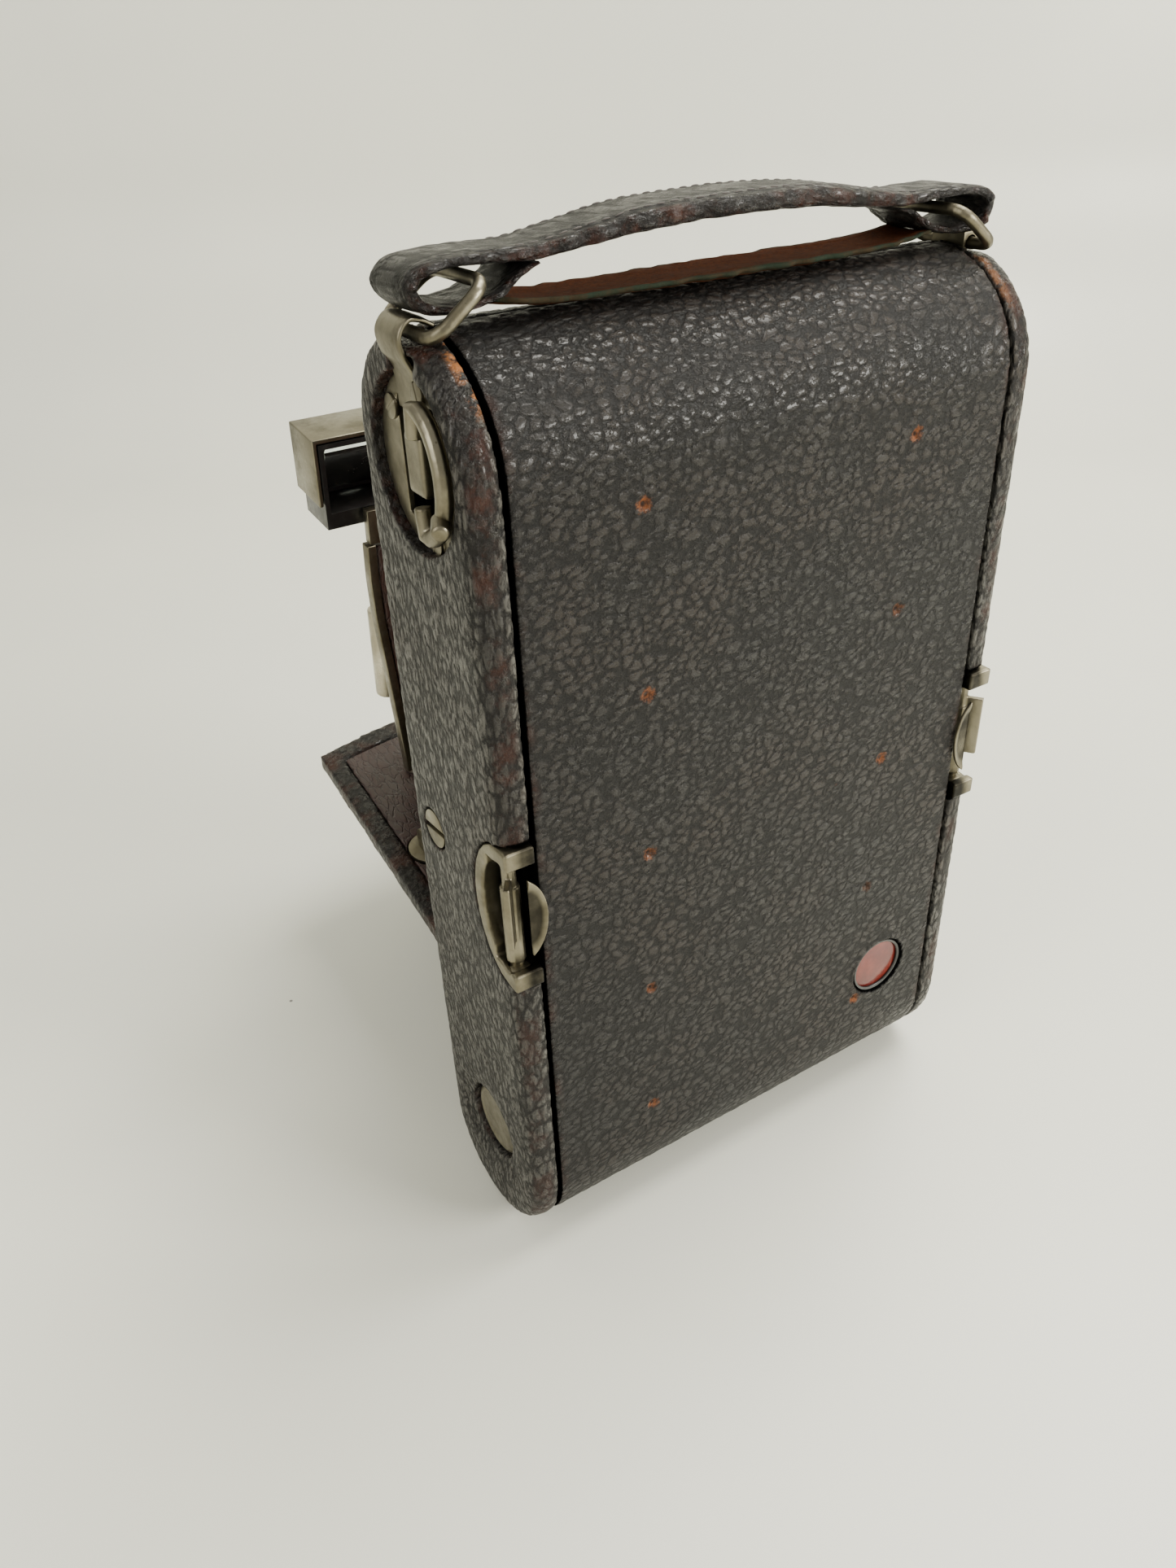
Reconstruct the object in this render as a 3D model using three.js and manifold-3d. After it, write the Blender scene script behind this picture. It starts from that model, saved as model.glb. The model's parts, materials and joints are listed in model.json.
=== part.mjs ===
// A roll-film folding camera, standing on its rounded bottom end with the bed let down.
// Millimetres, +Z up, the removable back towards +Y, the lens towards -Y, the winding key on +X.
// The origin is the middle of the bounding box, on the surface that the camera stands on.
import * as THREE from "three";
import { mergeVertices } from "three/addons/utils/BufferGeometryUtils.js";
import Module from "manifold-3d";

const wasm = await Module();
wasm.setup();

// ---- driving dimensions -------------------------------------------------------------------
const GAP = 0.3; // running and assembly gap between neighbouring pieces
const BODY = { halfWidth: 60.5, height: 197.4, depth: 40 };
const END_RADIUS = { back: 21.8, front: 18.2 }; // round top and bottom ends, in the side view
const CREST_Y = -END_RADIUS.back; // the highest and lowest line of the round ends
const SEAM_X = 54; // the back cover and front panels lie between the side shells
const SKIN = 2.3; // thickness of the cover and front panels
const SHELL_INNER_X = 49.5; // inner face of each side shell
const MIDDLE_Z = 100.5; // centre of the film opening
const GATE = { halfWidth: 41.3, halfHeight: 54 }; // 82.6 x 108 mm picture
const TAKE_UP = { y: -19, z: 177.5 }; // winding axis, in the top chamber
const SUPPLY = { y: -20.5, z: 25.6 }; // supply axis, in the bottom chamber
const ROLLER = { y: -9.2, rise: 62, radius: 3.2 };
const WINDOW = { x: -37.5, z: 38.7, radius: 7.4 };
const LATCH = { y: -3.6, bottom: 81.5, top: 113.5, blade: 55 }; // blade: degrees back from sideways
const BED = { y: -39.3, z: 46, rise: 6, thickness: 4.6 }; // inner surface at the hinge, degrees
const BED_PLAN = { hinge: 51.4, tip: 47.7, side: 106.3, arc: 172 };
const STANDARD = { out: 81, top: 75.6, lens: 40 }; // distance along the bed, heights above it
const LEG = { out: 97, halfWidth: 15, splay: 5 };
const HANDLE = { y: -21, halfWidth: 7.5 };
const RING = { footX: 57.4, footZ: 197, topX: 48.4, topZ: 203.8, halfWidth: 9.4, radius: 1.15 };
const BELLOWS = { pleats: 9, fold: 3.4, wall: 1 };
const SPOOL = { halfLength: 44, flange: 12.4, flangeThickness: 1, core: 6.4, bore: 2.7, boreDepth: 9 };
const PIN = { radius: 2.3, tipX: 36.6 }; // the pins of the knobs and key, which sit in the spools' bores
const KNOB = { radius: 8.4, innerX: 56, outerX: 58.6 };
const BAIL = { x: 60.8, reach: 8, halfHeight: 10.2, pivot: 5.4, radius: 1.5 };

const degrees = THREE.MathUtils.degToRad;

// ---- solids -------------------------------------------------------------------------------
// A three.js primitive repeats the vertices along its seams, so they are merged first.
function welded(geometry) {
  if (!geometry.hasAttribute("uv")) return geometry;
  const bare = geometry.clone();
  bare.deleteAttribute("normal");
  bare.deleteAttribute("uv");
  return mergeVertices(bare, 1e-4);
}

function toSolid(geometry) {
  const merged = welded(geometry);
  const triVerts = new Uint32Array(merged.index.array);
  const vertProperties = merged.attributes.position.array;
  const solid = new wasm.Manifold(new wasm.Mesh({ numProp: 3, vertProperties, triVerts }));
  if (solid.volume() > 0) return solid;
  for (let i = 0; i < triVerts.length; i += 3) {
    [triVerts[i + 1], triVerts[i + 2]] = [triVerts[i + 2], triVerts[i + 1]];
  }
  return new wasm.Manifold(new wasm.Mesh({ numProp: 3, vertProperties, triVerts }));
}

function toGeometry(solid) {
  const { vertProperties, triVerts } = solid.getMesh();
  const geometry = new THREE.BufferGeometry();
  geometry.setAttribute("position", new THREE.BufferAttribute(vertProperties, 3));
  geometry.setIndex(new THREE.BufferAttribute(triVerts, 1));
  geometry.computeVertexNormals();
  return geometry;
}

function join(...geometries) {
  return toGeometry(geometries.map(toSolid).reduce((sum, next) => sum.add(next)));
}

function cut(geometry, ...tools) {
  return toGeometry(tools.map(toSolid).reduce((rest, tool) => rest.subtract(tool), toSolid(geometry)));
}

function common(first, second) {
  return toGeometry(toSolid(first).intersect(toSolid(second)));
}

function mirrorX(geometry) {
  return toGeometry(toSolid(geometry.clone().scale(-1, 1, 1)));
}

function box(x0, x1, y0, y1, z0, z1) {
  const geometry = new THREE.BoxGeometry(x1 - x0, y1 - y0, z1 - z0);
  return geometry.translate((x0 + x1) / 2, (y0 + y1) / 2, (z0 + z1) / 2);
}

// Cylinders along each axis, with the other two coordinates given in axis order.
function cylinderX(radius, x0, x1, y, z, sides = 24) {
  const geometry = new THREE.CylinderGeometry(radius, radius, x1 - x0, sides).rotateZ(-Math.PI / 2);
  return geometry.translate((x0 + x1) / 2, y, z);
}

function cylinderY(radius, y0, y1, x, z, sides = 24) {
  return new THREE.CylinderGeometry(radius, radius, y1 - y0, sides).translate(x, (y0 + y1) / 2, z);
}

function cylinderZ(radius, z0, z1, x, y, sides = 24) {
  const geometry = new THREE.CylinderGeometry(radius, radius, z1 - z0, sides).rotateX(Math.PI / 2);
  return geometry.translate(x, y, (z0 + z1) / 2);
}

// A shape drawn in (y, z), extruded from x0 to x1.
function alongX(shape, x0, x1, curveSegments = 12) {
  const geometry = new THREE.ExtrudeGeometry(shape, { depth: x1 - x0, bevelEnabled: false, curveSegments });
  const axes = new THREE.Matrix4().makeBasis(
    new THREE.Vector3(0, 1, 0), new THREE.Vector3(0, 0, 1), new THREE.Vector3(1, 0, 0));
  return geometry.applyMatrix4(axes).translate(x0, 0, 0);
}

// A shape drawn in (x, z), extruded from y0 to y1.
function alongY(shape, y0, y1, curveSegments = 12) {
  const geometry = new THREE.ExtrudeGeometry(shape, { depth: y1 - y0, bevelEnabled: false, curveSegments });
  return geometry.rotateX(Math.PI / 2).translate(0, y1, 0);
}

// A shape drawn in (x, y), extruded from z0 to z1.
function alongZ(shape, z0, z1, curveSegments = 12) {
  const geometry = new THREE.ExtrudeGeometry(shape, { depth: z1 - z0, bevelEnabled: false, curveSegments });
  return geometry.translate(0, 0, z0);
}

function polygon(points) {
  const corners = points.map(([a, b]) => new THREE.Vector2(a, b));
  return new THREE.Shape(THREE.ShapeUtils.isClockWise(corners) ? corners.reverse() : corners);
}

function rectangle(a0, a1, b0, b1) {
  return polygon([[a0, b0], [a1, b0], [a1, b1], [a0, b1]]);
}

function disc(radius, a, b) {
  return new THREE.Shape().absarc(a, b, radius, 0, 2 * Math.PI);
}

// Rings of points with equal counts, skinned one to the next; the ends are capped, or joined.
function skin(rings, closed = false) {
  const count = rings[0].length;
  const positions = rings.flat().flatMap((point) => point.toArray());
  const index = [];
  const last = closed ? rings.length : rings.length - 1;
  for (let r = 0; r < last; r += 1) {
    const here = r * count;
    const next = ((r + 1) % rings.length) * count;
    for (let i = 0; i < count; i += 1) {
      const j = (i + 1) % count;
      index.push(here + i, here + j, next + j, here + i, next + j, next + i);
    }
  }
  if (!closed) {
    const centre = (ring) => ring.reduce((sum, p) => sum.add(p), new THREE.Vector3()).divideScalar(count);
    [[0, 1], [rings.length - 1, -1]].forEach(([r, side]) => {
      const middle = positions.length / 3;
      positions.push(...centre(rings[r]).toArray());
      for (let i = 0; i < count; i += 1) {
        const edge = [r * count + i, r * count + ((i + 1) % count)];
        index.push(middle, ...(side > 0 ? edge.reverse() : edge));
      }
    });
  }
  const geometry = new THREE.BufferGeometry();
  geometry.setAttribute("position", new THREE.Float32BufferAttribute(positions, 3));
  geometry.setIndex(index);
  return toGeometry(toSolid(geometry));
}

// A round wire along points; the normal is square to the plane that the wire lies in.
function wire(points, normal, radius, closed, sides = 8) {
  const count = points.length;
  const rings = points.map((point, i) => {
    const before = points[closed ? (i + count - 1) % count : Math.max(i - 1, 0)];
    const after = points[closed ? (i + 1) % count : Math.min(i + 1, count - 1)];
    const across = after.clone().sub(before).normalize().cross(normal);
    return Array.from({ length: sides }, (_, k) => {
      const angle = (2 * Math.PI * k) / sides;
      return point.clone()
        .addScaledVector(across, radius * Math.cos(angle))
        .addScaledVector(normal, radius * Math.sin(angle));
    });
  });
  return skin(rings, closed);
}

// ---- materials and the scene graph --------------------------------------------------------
function finish(color, roughness, metalness) {
  return new THREE.MeshStandardMaterial({ color, roughness, metalness });
}

const leather = finish(0x2b2623, 0.5, 0);
const strapLeather = finish(0x33291f, 0.55, 0);
const maroonLeather = finish(0x4a3230, 0.6, 0);
const nickel = finish(0x9a9480, 0.35, 1);
const brass = finish(0x8a7640, 0.4, 1);
const blackPaint = finish(0x111111, 0.45, 0.3);
const darkWood = finish(0x3a2c28, 0.7, 0);
const glass = finish(0xbfd0d4, 0.05, 0);
const rubyCelluloid = finish(0x7a1f14, 0.15, 0);

const camera = new THREE.Group();
const bed = new THREE.Group(); // its own frame: -Y runs out along the bed, Z stands off its inner face
bed.position.set(0, BED.y, BED.z);
bed.rotation.x = -degrees(BED.rise);
camera.add(bed);

function place(group, name, geometry, material) {
  const mesh = new THREE.Mesh(toGeometry(toSolid(geometry)), material);
  mesh.name = name;
  group.add(mesh);
}

// ---- body ---------------------------------------------------------------------------------
// The body's side outline, inset by some distance: flat back and front with round ends.
function outlinePoints(inset, steps = 10) {
  const top = BODY.height;
  const points = [];
  const arc = (radius, centreZ, from, to) => {
    for (let i = 0; i <= steps; i += 1) {
      const angle = degrees(from + ((to - from) * i) / steps);
      const r = radius - inset;
      points.push([CREST_Y + r * Math.cos(angle), centreZ + r * Math.sin(angle)]);
    }
  };
  arc(END_RADIUS.back, END_RADIUS.back, -90, 0);
  arc(END_RADIUS.back, top - END_RADIUS.back, 0, 90);
  arc(END_RADIUS.front, top - END_RADIUS.front, 90, 180);
  arc(END_RADIUS.front, END_RADIUS.front, 180, 270);
  return points.filter(([y, z], i) => {
    const [py, pz] = points[(i + points.length - 1) % points.length];
    return Math.hypot(y - py, z - pz) > 1e-6;
  });
}

function bodySlab(inset, x0, x1) {
  return alongX(polygon(outlinePoints(inset)), x0, x1);
}

// The round key plate with its neck, which runs up to the handle's bracket.
function keyPlateShape(grow) {
  const radius = 14.2 + grow;
  const neck = 4 + grow;
  const shoulder = Math.asin(neck / radius);
  const shape = new THREE.Shape();
  shape.absarc(TAKE_UP.y, TAKE_UP.z, radius, Math.PI / 2 + shoulder, Math.PI / 2 - shoulder + 2 * Math.PI);
  shape.lineTo(TAKE_UP.y + neck, BODY.height - 3.4 + grow);
  shape.lineTo(TAKE_UP.y - neck, BODY.height - 3.4 + grow);
  return shape;
}

// The rectangular well that the key folds into.
function keyWell(floor) {
  const { y, z } = TAKE_UP;
  return box(floor, 70, y - 6.6, y + 6.6, z - 9.6, z + 9.6);
}

// The C-shaped latch frame: a half-round pocket that is open towards the back.
function latchShape(grow) {
  const middle = (LATCH.bottom + LATCH.top) / 2;
  const half = (LATCH.top - LATCH.bottom) / 2 + grow;
  const deep = 13 + grow;
  const points = [[1, middle + half], [1, middle - half]];
  for (let i = 0; i <= 12; i += 1) {
    const angle = degrees(-90 - 15 * i);
    points.push([-2 + (deep - 2) * Math.cos(angle), middle + half * Math.sin(angle)]);
  }
  return polygon(points);
}

// A solid side: a rim outside the seam with a rounded outer corner, and a core that fits inside the
// cover and panels. The knobs sit in shallow dishes, the latch and the key in pockets.
function sideShell(withKey) {
  const outer = BODY.halfWidth;
  const sections = [
    [SEAM_X + GAP, 0], [57.2, 0], [58.9, 0.6], [59.9, 1.6], [outer, 3.4],
  ];
  const ring = ([x, inset]) => outlinePoints(inset).map(([y, z]) => new THREE.Vector3(x, y, z));
  const rim = skin(sections.map(ring));
  const core = bodySlab(SKIN + GAP, SHELL_INNER_X, SEAM_X + 1);
  const latchPocket = alongX(latchShape(GAP), 53, 70);
  const dish = (y, z) => new THREE.SphereGeometry(44, 40, 24).translate(58.2 + 44, y, z);
  const knobPocket = ({ y, z }) => cylinderX(8.9, 55.4, 70, y, z, 32);
  const pinHole = ({ y, z }) => cylinderX(2.7, 40, 70, y, z);
  const journalHole = (side) => cylinderX(1.6, 40, 52.6, ROLLER.y, MIDDLE_Z + side * ROLLER.rise, 12);
  const plugHole = cylinderX(4.5, 57.5, 70, -29.8, 102);
  const ringGroove = box(55.1, 60.2, -31, -11, 195.4, 200);
  const tools = [latchPocket, ringGroove, pinHole(TAKE_UP), pinHole(SUPPLY)];
  tools.push(journalHole(1), journalHole(-1));
  tools.push(dish(SUPPLY.y, SUPPLY.z), knobPocket(SUPPLY));
  if (withKey) {
    tools.push(alongX(keyPlateShape(GAP), 57.2, 70, 24), plugHole, keyWell(52.2));
  } else {
    tools.push(dish(TAKE_UP.y, TAKE_UP.z), knobPocket(TAKE_UP));
  }
  return cut(join(rim, core), ...tools);
}

// A strip of the body's outer skin on one side of the crest line, between two heights.
function skinStrip(y0, y1, z0, z1) {
  const x = SEAM_X - GAP;
  const strip = cut(bodySlab(0, -x, x), bodySlab(SKIN, -x - 1, x + 1));
  return common(strip, box(-x - 1, x + 1, y0, y1, z0, z1));
}

function backCover() {
  const cover = skinStrip(CREST_Y + GAP, 1, -1, BODY.height + 1);
  return cut(cover, cylinderY(WINDOW.radius, -5, 5, WINDOW.x, WINDOW.z, 32));
}

// The inner frame: front flange, light-tight tube with the bellows' seat in it, and the film gate.
function filmFrame() {
  const flange = box(-SEAM_X + GAP, SEAM_X - GAP, -40, -37.4, 43.6, 160.7);
  const tube = box(-46, 46, -39, -6, 43.6, 157.4);
  const gatePlate = box(-SHELL_INNER_X + GAP, SHELL_INNER_X - GAP, -7.4, -5.4, 43.6, 157.4);
  const inside = box(-43.6, 43.6, -50, -7.4, MIDDLE_Z - 54.6, MIDDLE_Z + 54.6);
  const seat = cut(box(-44, 44, -34.2, -32.6, MIDDLE_Z - 55, MIDDLE_Z + 55),
    box(-36.8, 36.8, -40, -30, MIDDLE_Z - 47.2, MIDDLE_Z + 47.2));
  const window = box(-GATE.halfWidth, GATE.halfWidth, -10, 0,
    MIDDLE_Z - GATE.halfHeight, MIDDLE_Z + GATE.halfHeight);
  const shellRelief = box(SHELL_INNER_X - GAP, 60, -BODY.depth + SKIN, 0, 0, 200);
  const hingeRelief = box(-60, 60, -44, -38, 40, 45.9);
  const reliefs = [shellRelief, mirrorX(shellRelief), hingeRelief];
  return join(cut(join(flange, tube, gatePlate), inside, window, ...reliefs), seat);
}

function spool(axis) {
  const { halfLength: end, flange, core, bore } = SPOOL;
  const floor = end - SPOOL.boreDepth;
  const inner = end - SPOOL.flangeThickness;
  const half = [[core, inner], [flange, inner], [flange, end], [bore, end], [bore, floor], [0, floor]];
  const otherHalf = half.map(([r, x]) => [r, -x]).reverse();
  const profile = [...otherHalf, ...half].map(([r, x]) => new THREE.Vector2(r, x));
  return new THREE.LatheGeometry(profile, 24).rotateZ(-Math.PI / 2).translate(0, axis.y, axis.z);
}

function filmRoller(side) {
  const z = MIDDLE_Z + side * ROLLER.rise;
  const drum = cylinderX(ROLLER.radius, -46, 46, ROLLER.y, z, 20);
  return join(drum, cylinderX(1.2, -52, 52, ROLLER.y, z, 12));
}

function spoolKnob({ y, z }) {
  const head = cylinderX(KNOB.radius, KNOB.innerX, KNOB.outerX, y, z, 32);
  const collar = cylinderX(3.6, KNOB.innerX - 0.4, KNOB.innerX + 0.5, y, z);
  return join(head, collar, cylinderX(PIN.radius, PIN.tipX, KNOB.innerX, y, z, 16));
}

function buildBody() {
  place(camera, "side_shell_left", sideShell(true), leather);
  place(camera, "side_shell_right", mirrorX(sideShell(false)), leather);
  place(camera, "back_cover", backCover(), leather);
  place(camera, "front_panel_upper", skinStrip(-50, CREST_Y, 161, 300), leather);
  place(camera, "front_panel_lower", skinStrip(-50, CREST_Y, -1, 41.2), leather);
  place(camera, "film_frame", filmFrame(), blackPaint);
  place(camera, "take_up_spool", spool(TAKE_UP), darkWood);
  place(camera, "supply_spool", spool(SUPPLY), darkWood);
  place(camera, "film_roller_upper", filmRoller(1), nickel);
  place(camera, "film_roller_lower", filmRoller(-1), nickel);
  place(camera, "spool_knob_lower_left", spoolKnob(SUPPLY), nickel);
  place(camera, "spool_knob_lower_right", mirrorX(spoolKnob(SUPPLY)), nickel);
  place(camera, "spool_knob_upper_right", mirrorX(spoolKnob(TAKE_UP)), nickel);
  const { x, z, radius } = WINDOW;
  place(camera, "red_window", cylinderY(radius - GAP, -1.9, -0.8, x, z, 32), rubyCelluloid);
  const plug = cylinderX(4.1, 57.8, 60.3, -29.8, 102, 24);
  const slot = box(59.6, 61, -30.4, -29.2, 96, 108);
  place(camera, "tripod_plug_screw", cut(plug, slot), nickel);
}

// ---- winding key --------------------------------------------------------------------------
function buildKey() {
  const { y, z } = TAKE_UP;
  const plate = cut(alongX(keyPlateShape(0), 57.5, 58.7, 24), keyWell(50));
  const screwPlaces = [[-8.2, 7.4], [2.6, 11.3], [3.6, -12]];
  const screws = screwPlaces.map(([dy, dz]) => cylinderX(1.9, 58.5, 59.2, y + dy, z + dz, 12));
  place(camera, "key_plate", join(plate, ...screws), nickel);

  const block = box(53, 59.9, y - 3.1, y + 3.1, z - 5, z + 5);
  const shaft = cylinderX(PIN.radius, PIN.tipX, 54, y, z, 16);
  place(camera, "winding_key_hub", join(block, shaft), nickel);

  const pivotY = y + 3.9;
  const point = (dy, dz) => new THREE.Vector3(BAIL.x, pivotY + dy, z + dz);
  const points = [point(0, BAIL.pivot)];
  for (let i = 0; i <= 16; i += 1) {
    const angle = degrees(90 - (180 * i) / 16);
    points.push(point(0.6 + BAIL.reach * Math.cos(angle), BAIL.halfHeight * Math.sin(angle)));
  }
  points.push(point(0, -BAIL.pivot));
  const bow = wire(points, new THREE.Vector3(1, 0, 0), BAIL.radius, false, 10);
  place(camera, "winding_key_bail", bow, nickel);
}

// ---- back latches -------------------------------------------------------------------------
function latchFrame() {
  const middle = (LATCH.bottom + LATCH.top) / 2;
  const rim = alongX(latchShape(0), SEAM_X + GAP, 60.4);
  const hollow = cut(alongX(latchShape(-3.2), 54.8, 70), box(50, 70, -1, 5, 60, 140));
  const mouth = box(50, 70, -7, 5, middle - 12.2, middle + 12.2);
  return cut(rim, hollow, mouth, cylinderZ(1.7, 80, 86, 57.6, LATCH.y, 12));
}

function latchLever() {
  const pin = cylinderZ(1.4, 82.6, 108.4, 57.6, LATCH.y, 12);
  const knuckle = cylinderZ(1.9, 86, 103.4, 57.6, LATCH.y, 12);
  const flag = box(0, 4.8, -0.6, 0.6, 91.6, 105.6).rotateZ(degrees(LATCH.blade));
  return join(pin, knuckle, flag.translate(57.6, LATCH.y, 0));
}

// A half-moon nickel clip on the cover's edge, which reaches over the seam into the latch's mouth.
function keeper() {
  const shape = new THREE.Shape().absarc(61.2, 97.6, 10.2, degrees(120), degrees(240), false);
  return alongY(shape, 0.3, 0.9, 10);
}

function buildLatches() {
  const pieces = { latch_frame: latchFrame(), latch_lever: latchLever(), back_keeper: keeper() };
  Object.entries(pieces).forEach(([name, geometry]) => {
    place(camera, `${name}_left`, geometry, nickel);
    place(camera, `${name}_right`, mirrorX(geometry), nickel);
  });
}

// ---- handle -------------------------------------------------------------------------------
function handleRing() {
  const foot = new THREE.Vector3(RING.footX, HANDLE.y, RING.footZ);
  const up = new THREE.Vector3(RING.topX - RING.footX, 0, RING.topZ - RING.footZ);
  const length = up.length();
  up.normalize();
  const along = new THREE.Vector3(0, 1, 0);
  const corner = 3;
  const points = [];
  [[1, 0], [1, 1], [-1, 1], [-1, 0]].forEach(([side, high], k) => {
    for (let i = 0; i <= 4; i += 1) {
      const angle = degrees(-90 + 90 * k + 22.5 * i);
      const a = side * (RING.halfWidth - corner) + corner * Math.cos(angle);
      const b = (high ? length - corner : corner) + corner * Math.sin(angle);
      points.push(foot.clone().addScaledVector(along, a).addScaledVector(up, b));
    }
  });
  return wire(points, along.clone().cross(up), RING.radius, true);
}

function ringBracket() {
  const saddle = box(55.4, 59.4, HANDLE.y - 4, HANDLE.y + 4, 195.7, 199);
  return cut(saddle, cylinderY(RING.radius + GAP, -40, 0, RING.footX, RING.footZ, 12));
}

// The strap's side view: an arched upper layer and a flat lower one that meet inboard of each
// ring, and a loop round each ring.
function strapShape() {
  const half = (points) => [...points, ...points.slice(1, -1).map(([x, z]) => [-x, z]).reverse()];
  const outer = polygon(half([[0, 211.2], [18, 210.6], [34, 208.8], [46, 207.6], [54, 207.2],
    [59.2, 205.6], [60.4, 203.2], [59, 200.8], [54, 199.6], [40, 198.4], [0, 198.6]]));
  outer.holes.push(polygon(half([[0, 205.4], [18, 205], [32, 202.6], [38, 200.6], [30, 200], [0, 200.6]])));
  const eye = [
    [44, 201.6], [52, 201.4], [56.6, 202.4], [56.8, 203.8], [53, 205.5], [47, 205.8], [44, 204.4],
  ];
  [1, -1].forEach((side) => outer.holes.push(polygon(eye.map(([x, z]) => [side * x, z]))));
  return outer;
}

function buildHandle() {
  const strap = alongY(strapShape(), HANDLE.y - HANDLE.halfWidth, HANDLE.y + HANDLE.halfWidth);
  place(camera, "handle_strap", strap, strapLeather);
  place(camera, "handle_ring_left", handleRing(), nickel);
  place(camera, "handle_ring_right", mirrorX(handleRing()), nickel);
  place(camera, "ring_bracket_left", ringBracket(), nickel);
  place(camera, "ring_bracket_right", mirrorX(ringBracket()), nickel);
}

// ---- bed, in the bed's own frame ----------------------------------------------------------
// Half of the board's width at a distance out from the hinge.
function bedHalfWidth(out) {
  return BED_PLAN.hinge + ((BED_PLAN.tip - BED_PLAN.hinge) * out) / BED_PLAN.side;
}

function bedShape(inset, start) {
  const side = BED_PLAN.side - inset;
  const tip = bedHalfWidth(side) - inset;
  const radius = BED_PLAN.arc;
  const points = [[bedHalfWidth(start) - inset, -start]];
  const spread = Math.asin(tip / radius);
  const centre = -side + radius * Math.cos(spread);
  for (let i = 0; i <= 12; i += 1) {
    const angle = spread - (2 * spread * i) / 12;
    points.push([radius * Math.sin(angle), centre - radius * Math.cos(angle)]);
  }
  points.push([-bedHalfWidth(start) + inset, -start]);
  return polygon(points);
}

// A flat bar from the body's opening to a round plate that is riveted to the bed.
function strut() {
  const foot = new THREE.Vector3(0, -52, 3.6);
  const head = new THREE.Vector3(0, -4.2, 40);
  const run = head.clone().sub(foot);
  const bar = box(-0.7, 0.7, -2.4, 2.4, 0, run.length());
  bar.rotateX(Math.atan2(-run.y, run.z)).translate(39.6, foot.y, foot.z);
  const eye = (p) => cylinderX(3.4, 38.9, 40.3, p.y, p.z, 16);
  const plate = cylinderZ(6.3, -1, 0.2, 37.4, -52.6, 24);
  const ear = box(38.9, 40.3, -54.4, -50, -0.5, 4);
  return join(bar, eye(foot), eye(head), plate, ear);
}

function buildBed() {
  const start = 4.2;
  const board = alongZ(bedShape(0, start), -BED.thickness, 0);
  const panel = alongZ(bedShape(5.4, 9), -1.3, 1);
  place(bed, "bed_board", cut(board, panel), leather);
  const restOn = -1.3 + GAP;
  const railGrooves = [-1, 1].map((s) => box(s * 14 - 2.3, s * 14 + 2.3, -103.5, -11.5, -2, 2));
  railGrooves.push(box(-14, 14, -102.8, -100, -2, 2));
  const scalePocket = box(19.4, 29.8, -75.3, -57.7, -2, 2);
  const strutPockets = [-1, 1].map((s) => cylinderZ(6.7, -2, 2, s * 37.4, -52.6, 24));
  const lining = alongZ(bedShape(5.8, 9.4), restOn, -0.2);
  const cuts = [...railGrooves, scalePocket, ...strutPockets];
  place(bed, "bed_lining", cut(lining, ...cuts), maroonLeather);
  const rails = [-14, 14].map((x) => box(x - 2, x + 2, -103, -12, restOn, 2.2));
  place(bed, "bed_track", join(...rails, box(-14, 14, -102.4, -100.4, restOn, 0.6)), nickel);
  place(bed, "distance_scale", box(19.8, 29.4, -74.9, -58.1, restOn, 0.2), nickel);
  place(bed, "bed_hinge_pin", cylinderX(1.3, -47, 47, -2, -2.4, 16), nickel);
  place(bed, "bed_strut_left", strut(), nickel);
  place(bed, "bed_strut_right", mirrorX(strut()), nickel);
}

// The folding leg stands from the bed's underside to the surface, with its foot set outwards.
function buildLeg() {
  const rise = degrees(BED.rise);
  const under = BED.thickness + 2;
  const pivotY = BED.y - LEG.out * Math.cos(rise) - under * Math.sin(rise);
  const pivotZ = BED.z + LEG.out * Math.sin(rise) - under * Math.cos(rise);
  const footY = pivotY - pivotZ * Math.tan(degrees(LEG.splay));
  const half = LEG.halfWidth;
  const plate = alongX(polygon([
    [pivotY - 0.9, pivotZ], [pivotY + 0.9, pivotZ], [footY + 0.9, 0], [footY - 5, 0], [footY - 5, 1.4],
    [footY - 0.9, 1.8],
  ]), -half, half);
  const knuckle = cylinderX(1.6, -half, half, pivotY, pivotZ, 12);
  const bore = cylinderX(0.9, -half - 1, half + 1, pivotY, pivotZ, 12);
  place(camera, "bed_leg", cut(join(plate, knuckle), bore), nickel);
  const pin = cylinderX(0.6, -half - 3, half + 3, 0, 0, 8);
  const ears = [-1, 1].map((side) => box(side * (half + 1.6) - 1, side * (half + 1.6) + 1, -2, 2, -1, 1.7));
  const hinge = join(pin, ...ears).translate(0, -LEG.out, -under);
  place(bed, "leg_hinge", hinge, nickel);
}

// ---- lens standard, in the bed's own frame -------------------------------------------------
const standardBack = -STANDARD.out + 1.4;
const boardFront = -STANDARD.out - 2;

function standardShape(inset, top) {
  const side = [[31.2, 4.9], [31.6, 10], [33.4, 30], [35.9, 56], [36.3, 66]];
  const right = side.map(([x, w], i) => [x - inset, i ? w : w + inset]);
  right.push([36.2 - inset, top]);
  return polygon([...right, ...right.map(([x, w]) => [-x, w]).reverse()]);
}

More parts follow.
